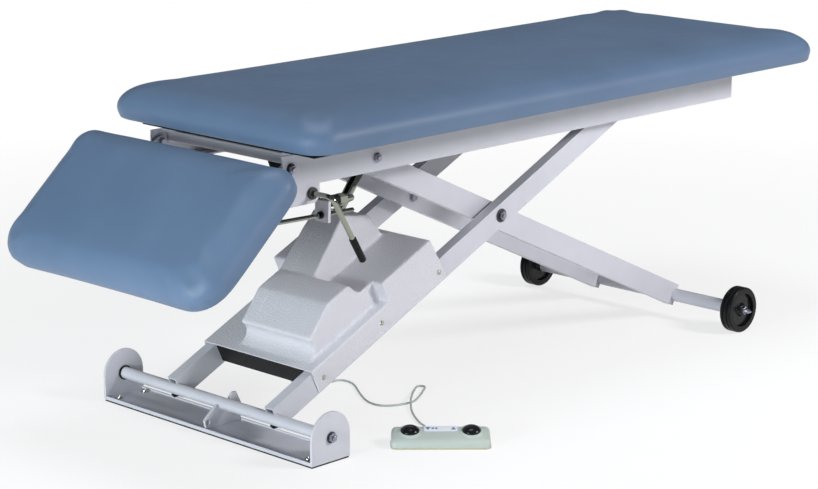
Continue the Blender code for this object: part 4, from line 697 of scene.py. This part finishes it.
def swell(mesh, seat):
    """Fill a cushion: voxels, then a cloth cover under pressure, its foot held down and its travel capped."""
    work = added("work", mesh)
    modify(work, "REMESH", mode="VOXEL", voxel_size=CUSHION_VOXEL)
    modify(work, "SMOOTH", factor=SMOOTHING, iterations=CUSHION_PASSES)
    applied(work)
    held = work.vertex_groups.new(name="held")
    held.add([corner.index for corner in work.data.vertices if corner.co.z < seat + FILL_HELD], 1.0, "REPLACE")
    cover = work.modifiers.new("cover", "CLOTH")
    cover.settings.quality = FILL_QUALITY
    cover.settings.vertex_group_mass = "held"
    cover.settings.use_pressure = True
    cover.settings.uniform_pressure_force = FILL_PRESSURE
    cover.settings.effector_weights.gravity = 0
    cover.collision_settings.use_collision = False
    start = [corner.co.copy() for corner in work.data.vertices]
    for moment in range(1, FILL_FRAMES + 1):
        bpy.context.scene.frame_set(moment)
    filled = evaluated_mesh(work)
    cap = sizes().cushion_swell
    work.modifiers.clear()
    for corner, moved, before in zip(work.data.vertices, filled.vertices, start):
        move = moved.co - before
        corner.co = before + move * min(1.0, cap / max(move.length, 1e-9))
    bpy.context.scene.frame_set(1)
    modify(work, "SMOOTH", factor=SMOOTHING, iterations=FILL_PASSES)
    modify(work, "SUBSURF", levels=1)
    applied(work)
    result = work.data
    bpy.data.objects.remove(work)
    return result


def fit_box(mesh, low, high):
    """Stretch a filled cushion in plan to the box that its solid holds."""
    for axis in (0, 1):
        places = [corner.co[axis] for corner in mesh.vertices]
        start, end = min(places), max(places)
        share = (high[axis] - low[axis]) / (end - start)
        for corner in mesh.vertices:
            corner.co[axis] = low[axis] + (corner.co[axis] - start) * share


class TABLE_OT_cushions(bpy.types.Operator):
    """Pad the main top and the drop section"""

    bl_idname = "table.cushions"
    bl_label = "Cushions"

    def execute(self, context):
        inset = sizes().cushion_swell * 0.5
        inset_span = Vector((inset, inset, 0))
        for name, node, corners, matrix, body in CUSHIONS:
            source = frame["nodes"][node]
            places = [matrix.inverted() @ (source.matrix_world @ corner.co) for corner in source.data.vertices]
            low = Vector([min(place[axis] for place in places) for axis in range(3)]) + inset_span
            high = Vector([max(place[axis] for place in places) for axis in range(3)])
            high -= inset_span + Vector((0, 0, inset))
            mesh = swell(pad_form(low, high, corners, matrix).mesh_data(name), low.z)
            fit_box(mesh, low - inset_span, high + inset_span)
            mesh.transform(matrix)
            made = settle(name, mesh, "vinyl", body, angle=180)
            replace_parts(made, node)
        return {"FINISHED"}


# Motor cover, in the outer arms' frame: s along the arm, y across, n square to it
COVER_HALF_WIDTH = 0.177
COVER_START = 0.129
COVER_END = 0.5725
COVER_BOTTOM = -0.021
COVER_REACH = 0.03
COVER_LAP = 0.005
COVER_DRAFT = 0.002
DECK_HEIGHT = 0.035
PLATEAU_START = 0.39
PLATEAU_END = 0.562
PLATEAU_HEIGHT = 0.0865
BLOCK_NEAR_Y = -0.15
BLOCK_FAR_Y = 0.073
BLOCK_OUTLINE = (
    (0.146, 0.028), (0.152, 0.037), (0.164, 0.042), (0.174, 0.05), (0.1785, 0.06), (0.1775, 0.07),
    (0.1735, 0.078), (0.176, 0.0835), (0.254, 0.1225), (0.318, 0.1225), (0.326, 0.119), (0.338, 0.094),
    (0.346, 0.0875), (0.398, 0.0865), (0.398, 0.028))
TOWER_FLARE = 0.012
TOWER_SIDES = ((-0.03, -1), (0.067, 1))
TOWER_HEIGHT = 0.19
TOWER_OUTLINE = ((0.326, 0.1225), (0.465, 0.19), (0.5325, 0.1472), (0.545, 0.08), (0.314, 0.08))
COVER_VOXEL = 0.003
# Its slots: for the arms at its upper end, and for the actuator's rod
ARM_SLOT = (0.144, 0.1745)
ARM_SLOT_TOP = 0.0275
ROD_SLOT_HALF = 0.0175
ROD_SLOT_REACH = 0.3
ACTUATOR_FOOT = Vector((0.16, 0.017, 0.0116))
ACTUATOR_SLOPE = math.radians(26.2)
# Its screws: places along the side, and a profile of places along the axis and radii
COVER_SCREWS = ((0.1537, 0.0008), (0.3522, 0.004), (0.5523, 0.002))
COVER_SCREW = ((-0.004, 0), (-0.004, 0.0024), (-0.0006, 0.0024), (-0.0006, 0.0062), (0.001, 0.006),
               (0.0026, 0.0044), (0.003, 0.003), (0.0018, 0.0024), (0.0018, 0))


def cut(shell, place, normal, clear=False):
    """Cut an open skin along a plane; what lies beyond it may be taken away."""
    bmesh.ops.bisect_plane(shell, geom=shell.verts[:] + shell.edges[:] + shell.faces[:], plane_co=place,
                           plane_no=normal, clear_outer=clear)


def open_slot(shell, planes, inside):
    """Cut an open skin along planes and take away what lies inside the slot."""
    for place, normal in planes:
        cut(shell, place, normal)
    gone = [face for face in shell.faces if inside(face.calc_center_median())]
    bmesh.ops.delete(shell, geom=gone, context="FACES")


def cover_blocks():
    """The cover's deck, plateau, block and tower, as overlapping solids that reach past its open sides."""
    form = Form()
    low, back, lap = COVER_BOTTOM - COVER_REACH, COVER_START - COVER_REACH, PLATEAU_START + COVER_LAP
    deck = ((back, low), (lap, low), (lap, DECK_HEIGHT), (back, DECK_HEIGHT))
    plateau = ((PLATEAU_START, low), (COVER_END + COVER_DRAFT, low), (COVER_END, COVER_BOTTOM),
               (PLATEAU_END, PLATEAU_HEIGHT), (PLATEAU_START, PLATEAU_HEIGHT))
    for outline in (deck, plateau):
        form.prism(outline, -COVER_HALF_WIDTH, COVER_HALF_WIDTH)
    form.prism(BLOCK_OUTLINE, BLOCK_NEAR_Y, BLOCK_FAR_Y)
    flare = TOWER_FLARE / (TOWER_HEIGHT - PLATEAU_HEIGHT)
    return form.skin([form.corners((s, top_y + side * flare * (TOWER_HEIGHT - n), n) for s, n in TOWER_OUTLINE)
                      for top_y, side in TOWER_SIDES])


def cover_skin():
    """The cover's blocks joined and rounded, then opened and given their wall."""
    made = added("work", cover_blocks().mesh_data("work"))
    modify(made, "REMESH", mode="VOXEL", voxel_size=COVER_VOXEL)
    modify(made, "SMOOTH", factor=SMOOTHING, iterations=sizes().cover_round)
    applied(made)
    shell = bmesh.new()
    shell.from_mesh(made.data)
    cut(shell, (0, 0, COVER_BOTTOM), (0, 0, -1), clear=True)
    cut(shell, (COVER_START, 0, 0), (-1, 0, 0), clear=True)
    inner, outer = ARM_SLOT
    planes = [((0, side * reach, 0), (0, 1, 0)) for side in (-1, 1) for reach in ARM_SLOT]
    open_slot(shell, [*planes, ((0, 0, ARM_SLOT_TOP), (0, 0, 1))], lambda place: (
        place.x > PLATEAU_END and inner < abs(place.y) < outer and place.z < ARM_SLOT_TOP))
    across = Vector((-math.sin(ACTUATOR_SLOPE), 0, math.cos(ACTUATOR_SLOPE)))
    aside = Vector((0, 1, 0))
    planes = [(ACTUATOR_FOOT + normal * reach, normal) for normal in (across, aside)
              for reach in (-ROD_SLOT_HALF, ROD_SLOT_HALF)]
    open_slot(shell, planes, lambda place: (
        place.x > COVER_START + ROD_SLOT_REACH
        and max(abs((place - ACTUATOR_FOOT).dot(way)) for way in (across, aside)) < ROD_SLOT_HALF))
    shell.to_mesh(made.data)
    shell.free()
    modify(made, "SOLIDIFY", thickness=sizes().cover_skin, offset=-1)
    applied(made)
    skin = made.data
    bpy.data.objects.remove(made)
    return skin


class TABLE_OT_cover(bpy.types.Operator):
    """Mould the motor cover, with its openings and screws"""

    bl_idname = "table.cover"
    bl_label = "Motor cover"

    def execute(self, context):
        mesh = cover_skin()
        mesh.transform(OUTER)
        made = settle("motor_cover_moulding", mesh, "cover_moulding", "outer_arms", angle=50)
        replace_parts(made, "motor_cover")
        screws = Form(OUTER)
        for s, n in COVER_SCREWS:
            for side in (-1, 1):
                screws.turned([(side * (COVER_HALF_WIDTH + reach), radius) for reach, radius in COVER_SCREW],
                              (s, 0, n), sides=20)
        screws.done("cover_screws", "brass_zinc", "outer_arms", weld=False)
        return {"FINISHED"}


# Dressed solids: finish, body, rounding of the edges, its steps, and the solids
BASE_PARTS = (
    ("powder_coat", "table_base", 0.0012, 2, "foot_plate"),
    ("soft_rubber", "table_base", 0.0008, 2, "foot_pad"),
    ("powder_coat", "table_base", 0.0018, 2, "centre_saddle"),
    ("powder_coat", "outer_arms", 0.0008, 2, "pivot_tube"),
)

# The base's screws, nuts and bushes, as profiles of places along an axis and radii
PLATE_THICKNESS = 0.0045
PLATE_SCREW_X = 0.037
PLATE_SCREW_Y = 0.3115
PLATE_SCREW = ((-0.001, 0), (-0.001, 0.0095), (0.0012, 0.0095), (0.0012, 0.0066), (0.0048, 0.0058), (0.0058, 0.0036),
               (0.0036, 0.0028), (0.0036, 0))
TUBE_RADIUS = 0.01335
TUBE_NUT_X = -0.001
TUBE_NUT_Y = 0.163
TUBE_NUT = ((-0.0005, 0), (-0.0005, 0.0098), (0.0012, 0.0104), (0.0055, 0.0104), (0.0065, 0.0092), (0.0068, 0.0055),
            (0.009, 0.005), (0.009, 0))
TUBE_BUSH = ((0.3368, 0.0138), (0.3368, 0.0162), (0.336, 0.0168), (0.333, 0.0168), (0.3322, 0.016),
             (0.3322, 0.0138))


class TABLE_OT_base(bpy.types.Operator):
    """Dress the base plate, its pad, saddle, pivot tube and screws"""

    bl_idname = "table.base"
    bl_label = "Base"

    def execute(self, context):
        dress(BASE_PARTS)
        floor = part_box("foot_plate")[0].z + PLATE_THICKNESS
        screws, nuts, bushes = Form(), Form(OUTER), Form()
        for x in (-PLATE_SCREW_X, PLATE_SCREW_X):
            for y in (-PLATE_SCREW_Y, PLATE_SCREW_Y):
                screws.turned([(floor + reach, radius) for reach, radius in PLATE_SCREW], (x, y, 0), axis="Z", sides=20)
        for side in (-1, 1):
            nuts.turned([(-TUBE_RADIUS - along, radius) for along, radius in TUBE_NUT],
                        (TUBE_NUT_X, side * TUBE_NUT_Y, 0), axis="Z", sides=6, turn=0.3)
            bushes.ring([(side * along, radius) for along, radius in TUBE_BUSH], BASE_PIVOT)
        screws.done("plate_screws", "brass_zinc", "table_base", weld=False)
        nuts.done("tube_nuts", "moulded_black", "outer_arms", bevel=0.0004, angle=30, weld=False)
        bushes.done("tube_bushes", "moulded_black", "outer_arms", weld=False)
        return {"FINISHED"}


# Bolts: the radius and length of a head, how near to them a step must come, the chamfers, the least length and
# radius of a step, and the decimals that its measures are rounded to
HEAD_RADIUS = 0.0105
HEAD_LENGTH = 0.0075
RADIUS_LEEWAY = 3e-4
LENGTH_LEEWAY = 4e-4
HEAD_CHAMFER = 0.0012
HEAD_CORNER = 0.86
SHANK_CHAMFER = 0.0003
WASHER_MARGIN = 1e-3
STEP_LENGTH = 1e-4
STEP_RADIUS = 1e-3
STEP_DIGITS = 4
THREAD_END = ((-0.001, 0), (-0.001, 0.58), (0.0022, 0.56), (0.0034, 0.42), (0.0036, 0))
# The body that each pair of bolts rides on
BOLT_BODIES = {
    "pivot_bolt": "table_base", "scissor_bolt": "outer_arms", "roller_pin": "outer_arms",
    "top_pivot_bolt": "top_frame", "hinge_bolt": "top_frame", "axle_bolt": "inner_arms",
}


def bolt_steps(node):
    """The steps of a bolt along Y: start, its radius, end, its radius, and the place of its axis."""
    low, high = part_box(node)
    centre = ((low.x + high.x) / 2, (low.z + high.z) / 2)
    source = frame["nodes"][node]
    places = [source.matrix_world @ corner.co for corner in source.data.vertices]
    steps = set()
    for edge in source.data.edges:
        first, second = sorted((places[index] for index in edge.vertices), key=lambda place: place.y)
        radii = [math.hypot(place.x - centre[0], place.z - centre[1]) for place in (first, second)]
        if second.y - first.y > STEP_LENGTH and min(radii) > STEP_RADIUS:
            steps.add(tuple(round(value, STEP_DIGITS) for value in (first.y, radii[0], second.y, radii[1])))
    return sorted(steps), centre


class TABLE_OT_bolts(bpy.types.Operator):
    """Fit chamfered hexagon bolts and dark washers at the pivots"""

    bl_idname = "table.bolts"
    bl_label = "Bolts"

    def execute(self, context):
        for node, body in [(kind + "_" + end, body) for kind, body in BOLT_BODIES.items() for end in ("near", "far")]:
            steps, (x, z) = bolt_steps(node)
            shanks, washers = Form(), Form()
            for start, first, stop, second in steps:
                head = (abs(first - HEAD_RADIUS) < RADIUS_LEEWAY
                        and abs(stop - start - HEAD_LENGTH) < LENGTH_LEEWAY)
                form = washers if first > HEAD_RADIUS + WASHER_MARGIN else shanks
                edge = HEAD_CHAMFER if head else SHANK_CHAMFER
                kept = HEAD_CORNER if head else 1 - SHANK_CHAMFER / first
                form.turned([(start, 0), (start, first * kept), (start + edge, first), (stop - edge, second),
                             (stop, second * kept), (stop, 0)], (x, 0, z), sides=6 if head else 28, turn=0.35)
                if head:
                    outside = stop if abs(stop) > abs(start) else start
                    shanks.turned([(outside + math.copysign(reach, outside), first * radius)
                                   for reach, radius in THREAD_END], (x, 0, z), sides=20)
            bolt = shanks.done(node + "_hexagon", "zinc", body, angle=30, weld=False)
            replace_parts(bolt, node)
            if len(washers.mesh.verts):
                washers.done(node + "_washer", "dark_steel", body, angle=30, weld=False)
        return {"FINISHED"}


# Dressed solids of the lift, the top and the wheels, in the same order as the base's
LIFT_PARTS = (
    ("powder_coat", "outer_arms", 0.003, 3, "outer_arm_near"),
    ("powder_coat", "inner_arms", 0.003, 3, "inner_arm_near"),
    ("powder_coat", "outer_arms", 0.003, 3, "outer_arm_far"),
    ("powder_coat", "inner_arms", 0.003, 3, "inner_arm_far"),
    ("powder_coat", "inner_arms", 0.001, 2, "lift_lever"),
    ("powder_coat", "inner_arms", 0.0008, 2, "axle_tube"),
    # The front cross plate's black finish is painted shade: it stands for the shadow under the cover's front, where the
    # plate sits
    ("black_steel", "outer_arms", 0.001, 2, "front_cross_plate"),
    ("zinc", "outer_arms", 0.0006, 2, "actuator_crossbar"),
    ("black_steel", "outer_arms", 0.0012, 2, "actuator_body"),
    ("black_steel", "outer_arms", 0.0015, 2, "actuator_motor"),
    ("moulded_black", "outer_arms", 0.002, 2, "control_box"),
    ("moulded_black", "outer_arms", 0.0004, 2, "cord_gland"),
    ("moulded_black", "roller_near", 0.0012, 2, "roller_near"),
    ("moulded_black", "roller_far", 0.0012, 2, "roller_far"),
)
TOP_PARTS = (
    ("powder_coat", "top_frame", 0.001, 2, "rail_near"),
    ("powder_coat", "drop_section", 0.001, 2, "drop_arm_near"),
    ("powder_coat", "top_frame", 0.001, 2, "rail_far"),
    ("powder_coat", "drop_section", 0.001, 2, "drop_arm_far"),
    ("powder_coat", "top_frame", 0.0018, 2, "front_crossbar", "middle_crossbar", "rear_crossbar"),
    ("painted_board", "top_frame", 0.0012, 2, "top_board"),
    ("painted_board", "drop_section", 0.0012, 2, "drop_board"),
    ("powder_coat", "drop_section", 0.0008, 2, "rod_bracket"),
)
WHEEL_PARTS = (
    ("soft_rubber", "wheel_near", 0.001, 2, "wheel_near_tyre"),
    ("moulded_black", "wheel_near", 0.001, 2, "wheel_near_hub"),
    ("soft_rubber", "wheel_far", 0.001, 2, "wheel_far_tyre"),
    ("moulded_black", "wheel_far", 0.001, 2, "wheel_far_hub"),
)


class TABLE_OT_lift(bpy.types.Operator):
    """Dress the scissor arms, the lever, the actuator and the cross members"""

    bl_idname = "table.lift"
    bl_label = "Scissor lift"

    def execute(self, context):
        dress(LIFT_PARTS)
        painted("actuator_rod", "chrome_plate")
        return {"FINISHED"}


class TABLE_OT_top(bpy.types.Operator):
    """Dress the rails, cross members and boards"""

    bl_idname = "table.top"
    bl_label = "Top frame"

    def execute(self, context):
        dress(TOP_PARTS)
        return {"FINISHED"}


# Release lever: its bar's places, then the grip's stations, each a place along it, a radius and whether it is fluted
LEVER_ROD_RADIUS = 0.006
LEVER_INNER_Y = -0.1182
LEVER_BEND_Y = -0.275
LEVER_BEND_RADIUS = 0.018
LEVER_TIP = (0.161, 0.401)
GRIP_STATIONS = ((-0.057, 0.0063, False), (-0.057, 0.0076, False), (-0.0562, 0.008, True), (0.002, 0.008, True),
                 (0.0045, 0.0074, False), (0.0062, 0.0055, False), (0.0068, 0.0001, False))
GRIP_SIDES = 48
FLUTE_EVERY = 4
FLUTE_SHARE = 0.94

# Rod lock, in its own frame: profiles of places along an axis and radii
ROD_Y = -0.15
ROD_TILT = math.radians(-1.8)
ROD_LOCK = Matrix.Translation((LOCK_PIVOT.x, ROD_Y, LOCK_PIVOT.z)) @ Matrix.Rotation(-ROD_TILT, 4, "Y")
LOCK_BODY = ((-0.0145, 0), (-0.0145, 0.01209), (-0.0135, 0.013), (0.021, 0.013), (0.022, 0.01209), (0.022, 0))
LOCK_PIN = ((0, 0), (0, 0.005), (0.0318, 0.005), (0.0318, 0))
LOCK_CAP = ((0.0218, 0), (0.0218, 0.013), (0.0233, 0.0142), (0.0438, 0.0142), (0.0458, 0.013), (0.0458, 0))
LOCK_TIP = ((0.0456, 0), (0.0456, 0.0112), (0.0518, 0.01), (0.068, 0.0072), (0.071, 0.005), (0.071, 0))
CLAMP_CONE = ((-0.0234, 0.0064), (-0.0234, 0.0084), (-0.0254, 0.0084), (-0.0294, 0.0078), (-0.0304, 0.0074),
              (-0.0304, 0.0064))
CONE_CENTRE = (0, 0, -0.027)
LOCK_PARTS = (
    ("black_steel", "top_frame", 0.0008, 2, "lock_bracket"),
    ("powder_coat", "rod_lock", 0.001, 2, "clamp_plate"),
    ("dark_steel", "top_frame", 0.001, 2, "lever_bush"),
    ("black_steel", "release_lever", 0.0008, 2, "lever_cam"),
)


def bent(points, radius, steps=10):
    """A path through points with each corner rounded."""
    path = [Vector(points[0])]
    for before, corner, after in zip(points, points[1:], points[2:]):
        start = corner + (before - corner).normalized() * radius
        end = corner + (after - corner).normalized() * radius
        for index in range(steps + 1):
            share = index / steps
            path.append(start * (1 - share) ** 2 + corner * 2 * share * (1 - share) + end * share ** 2)
    return path + [Vector(points[-1])]


class TABLE_OT_lever(bpy.types.Operator):
    """Make the release lever with its fluted grip, and dress the support rod and its lock"""

    bl_idname = "table.lever"
    bl_label = "Release lever"

    def execute(self, context):
        shaft = Vector((LEVER_SHAFT.x, 0, LEVER_SHAFT.z))
        corner = shaft + Vector((0, LEVER_BEND_Y, 0))
        tip = Vector((LEVER_TIP[0], LEVER_BEND_Y, LEVER_TIP[1]))
        path = bent((shaft + Vector((0, LEVER_INNER_Y, 0)), corner, tip), LEVER_BEND_RADIUS)
        rod = tube("lever_bar", path, LEVER_ROD_RADIUS, "chrome_plate", "release_lever", sides=24)
        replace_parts(rod, "lever_rod")
        turn = Vector((1, 0, 0)).rotation_difference((tip - corner).normalized()).to_matrix().to_4x4()
        grip = Form(Matrix.Translation(tip) @ turn)
        rings = []
        for along, radius, fluted in GRIP_STATIONS:
            ring = []
            for part in range(GRIP_SIDES):
                angle = 2 * math.pi * part / GRIP_SIDES
                reach = radius * (FLUTE_SHARE if fluted and part % FLUTE_EVERY == 0 else 1)
                ring.append((along, math.cos(angle) * reach, math.sin(angle) * reach))
            rings.append(grip.corners(ring))
        made = grip.skin(rings, ends=(-1,)).done("lever_grip_sleeve", "soft_rubber", "release_lever", angle=60)
        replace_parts(made, "lever_grip")
        painted("support_rod", "chrome_plate")
        dress(LOCK_PARTS)
        body, cap, cone = Form(ROD_LOCK), Form(ROD_LOCK), Form(ROD_LOCK)
        body.turned(LOCK_BODY, axis="X").turned(LOCK_PIN, sides=20)
        made = body.done("lock_body", "black_steel", "rod_lock", angle=30, weld=False)
        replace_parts(made, "lock_housing")
        cap.turned(LOCK_CAP, axis="X", sides=6, turn=0.4).turned(LOCK_TIP, axis="X", sides=28)
        cap.done("lock_cap", "chrome_plate", "rod_lock", bevel=0.0004, angle=30, weld=False)
        cone.ring(CLAMP_CONE, CONE_CENTRE, axis="X", sides=28).done("clamp_cone", "soft_rubber", "rod_lock")
        return {"FINISHED"}


class TABLE_OT_wheels(bpy.types.Operator):
    """Fit the tyres and dished hubs"""

    bl_idname = "table.wheels"
    bl_label = "Wheels"

    def execute(self, context):
        dress(WHEEL_PARTS)
        return {"FINISHED"}


# Foot pedal, in its own frame: x along it, y to its back
PEDAL_HALF_LENGTH = 0.108
PEDAL_HALF_DEPTH = 0.033
PEDAL_CORNER = 0.014
PEDAL_CORNER_LEAST = 0.0004
PEDAL_BOW = 0.0042
PEDAL_FRONT_HEIGHT = 0.0175
PEDAL_RISE = 0.017
PEDAL_CROWN = 1.4
PEDAL_RIM = 0.0034
PEDAL_RIM_FOOT = 0.0002
# Stations of its shell: an inset, and either a flat height or a share of the top's height
PEDAL_STATIONS = (
    (0.0012, PEDAL_RIM, 0), (0.0012, 0, 0.45), (0.0016, 0, 0.7), (0.003, 0, 0.86), (0.0056, 0, 0.95),
    (0.009, 0, 0.99), (0.013, 0, 1), (0.017, 0, 1), (0.021, 0, 1), (0.025, 0, 1), (0.029, 0, 1), (0.0325, 0, 1))
INLET = ((0.026, 0), (0.026, 0.0072), (0.0335, 0.0072), (0.035, 0.0066), (0.0405, 0.0046), (0.041, 0.004),
         (0.041, 0))
BUTTON_OFFSET = 0.066
BUTTON_BACK = 0.005
BUTTON_SINK = 0.0005
BUTTON_SLOPE = math.radians(14.45)
BUTTON_SEAT = ((-0.004, 0.0199), (0.0022, 0.0199), (0.003, 0.0205), (0.003, 0.0216), (0.002, 0.0236),
               (0.0004, 0.0262), (-0.001, 0.0285), (-0.004, 0.0285))
BUTTON_DOME = ((-0.004, 0), (-0.004, 0.0192), (0.0035, 0.0192), (0.0052, 0.0186), (0.0066, 0.0174), (0.0088, 0.0148),
               (0.0104, 0.0112), (0.0114, 0.007), (0.0118, 0.003), (0.0119, 0))
# Label: its corners, how far its two faces lie above the pedal, and the shares of its inner rings
LABEL_LOW, LABEL_HIGH = (-0.036, 0.0045), (0.036, 0.0262)
LABEL_MIDDLE = (LABEL_LOW[1] + LABEL_HIGH[1]) / 2
LABEL_CORNER = 0.004
LABEL_LIFTS = (0.0001, 0.0006)
LABEL_SHARES = (1, 0.6, 0.2)
# Marks: two triangles about the label's middle, and two dots with a half width, a half height and a corner
MARK_LIFTS = (0.0004, 0.0009)
MARK_TRIANGLES = (((-0.0275, -0.0062), (-0.0222, 0.005), (-0.0328, 0.005)),
                  ((0.0222, -0.0052), (0.0328, -0.0052), (0.0275, 0.006)))
MARK_DOTS = (-0.017, -0.0095)
MARK_DOT = (0.0024, 0.003, 0.001)


def pedal_top(y):
    """Height of the pedal's top, which rises from its front to its back."""
    share = (y + PEDAL_HALF_DEPTH) / (2 * PEDAL_HALF_DEPTH)
    return PEDAL_FRONT_HEIGHT + PEDAL_RISE * (1 - max(1 - share, 0) ** PEDAL_CROWN)


def pedal_plan(inset):
    """The pedal's outline drawn in by an inset, with its front bowed."""
    half_x, half_y = PEDAL_HALF_LENGTH - inset, PEDAL_HALF_DEPTH - inset
    points = rounded((-half_x, -half_y), (half_x, half_y), max(PEDAL_CORNER - inset, PEDAL_CORNER_LEAST), 8)
    return [(x, y - (PEDAL_BOW * (1 - (x / PEDAL_HALF_LENGTH) ** 2) if y < 0 else 0)) for x, y in points]


def pedal_faces(form, outline, lifts):
    """Rings of corners that follow the pedal's top at the given heights above it."""
    return [form.corners((x, y, pedal_top(y) + lift) for x, y in outline) for lift in lifts]


class TABLE_OT_pedal(bpy.types.Operator):
    """Mould the foot pedal with its rim, domed buttons and plain label"""

    bl_idname = "table.pedal"
    bl_label = "Foot pedal"

    def execute(self, context):
        self.mould_shell()
        self.fit_label()
        return {"FINISHED"}

    def mould_shell(self):
        shell, rim = Form(PEDAL), Form(PEDAL)
        shell.skin([shell.corners((x, y, flat if flat else pedal_top(y) * share) for x, y in pedal_plan(inset))
                    for inset, flat, share in PEDAL_STATIONS])
        shell.turned(INLET, (0, 0, INLET_HEIGHT), sides=24)
        seats = {}
        for name, side in (("button_down", -1), ("button_up", 1)):
            place = Vector((side * BUTTON_OFFSET, BUTTON_BACK, pedal_top(BUTTON_BACK) - BUTTON_SINK))
            seats[name] = Matrix.Translation(place) @ Matrix.Rotation(BUTTON_SLOPE, 4, "X")
            before = set(shell.mesh.verts)
            shell.ring(BUTTON_SEAT, axis="Z", sides=48)
            bmesh.ops.transform(shell.mesh, matrix=seats[name],
                                verts=[vert for vert in shell.mesh.verts if vert not in before])
        made = shell.done("pedal_shell", "pedal_moulding", "table_base", angle=60, weld=False)
        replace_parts(made, "pedal_housing")
        rim.prism(pedal_plan(0), PEDAL_RIM_FOOT, PEDAL_RIM, axis="Z")
        rim.done("pedal_rim", "pedal_base", "table_base", bevel=0.0008, angle=60)
        for name, seat in seats.items():
            dome = Form(PEDAL @ seat).turned(BUTTON_DOME, axis="Z", sides=48)
            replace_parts(dome.done(name + "_dome", "moulded_black", name, angle=60), name)

    def fit_label(self):
        outline = rounded(LABEL_LOW, LABEL_HIGH, LABEL_CORNER, 6)
        label, marks = Form(PEDAL), Form(PEDAL)
        edges = []
        for lift in LABEL_LIFTS:
            rings = [pedal_faces(label, [(x * share, LABEL_MIDDLE + (y - LABEL_MIDDLE) * share) for x, y in outline],
                                 (lift,))[0] for share in LABEL_SHARES]
            label.skin(rings, ends=(-1,))
            edges.append(rings[0])
        label.skin(edges, ends=()).done("pedal_label", "label_film", "table_base", angle=60)
        shapes = [[(x, LABEL_MIDDLE + y) for x, y in triangle] for triangle in MARK_TRIANGLES]
        half_x, half_y, corner = MARK_DOT
        shapes += [rounded((x - half_x, LABEL_MIDDLE - half_y), (x + half_x, LABEL_MIDDLE + half_y), corner, 4)
                   for x in MARK_DOTS]
        for shape in shapes:
            marks.skin(pedal_faces(marks, shape, MARK_LIFTS))
        marks.done("pedal_marks", "label_mark", "table_base", angle=60)


OPERATORS = (
    TABLE_OT_camera, TABLE_OT_cord, TABLE_OT_stage, TABLE_OT_cushions, TABLE_OT_cover, TABLE_OT_base, TABLE_OT_bolts,
    TABLE_OT_lift, TABLE_OT_top, TABLE_OT_lever, TABLE_OT_wheels, TABLE_OT_pedal)


class TABLE_PT_panel(bpy.types.Panel):
    """Buttons for the table's pieces, with its sizes and colours"""

    bl_idname = "TABLE_PT_panel"
    bl_label = "Treatment Table"
    bl_space_type = "VIEW_3D"
    bl_region_type = "UI"
    bl_category = "Treatment Table"

    def draw(self, context):
        for operator in OPERATORS:
            self.layout.operator(operator.bl_idname)
        for group in (context.scene.table_sizes, context.scene.table_colours):
            for name in group.__annotations__:
                self.layout.prop(group, name)


CLASSES = (TableSizes, TableColours, *OPERATORS, TABLE_PT_panel)


def register():
    for entry in CLASSES:
        bpy.utils.register_class(entry)
    bpy.types.Scene.table_sizes = PointerProperty(type=TableSizes)
    bpy.types.Scene.table_colours = PointerProperty(type=TableColours)


def unregister():
    del bpy.types.Scene.table_colours
    del bpy.types.Scene.table_sizes
    for entry in reversed(CLASSES):
        bpy.utils.unregister_class(entry)


def main():
    register()
    for operator in OPERATORS:
        group, name = operator.bl_idname.split(".")
        getattr(getattr(bpy.ops, group), name)()


if __name__ == "__main__":
    main()
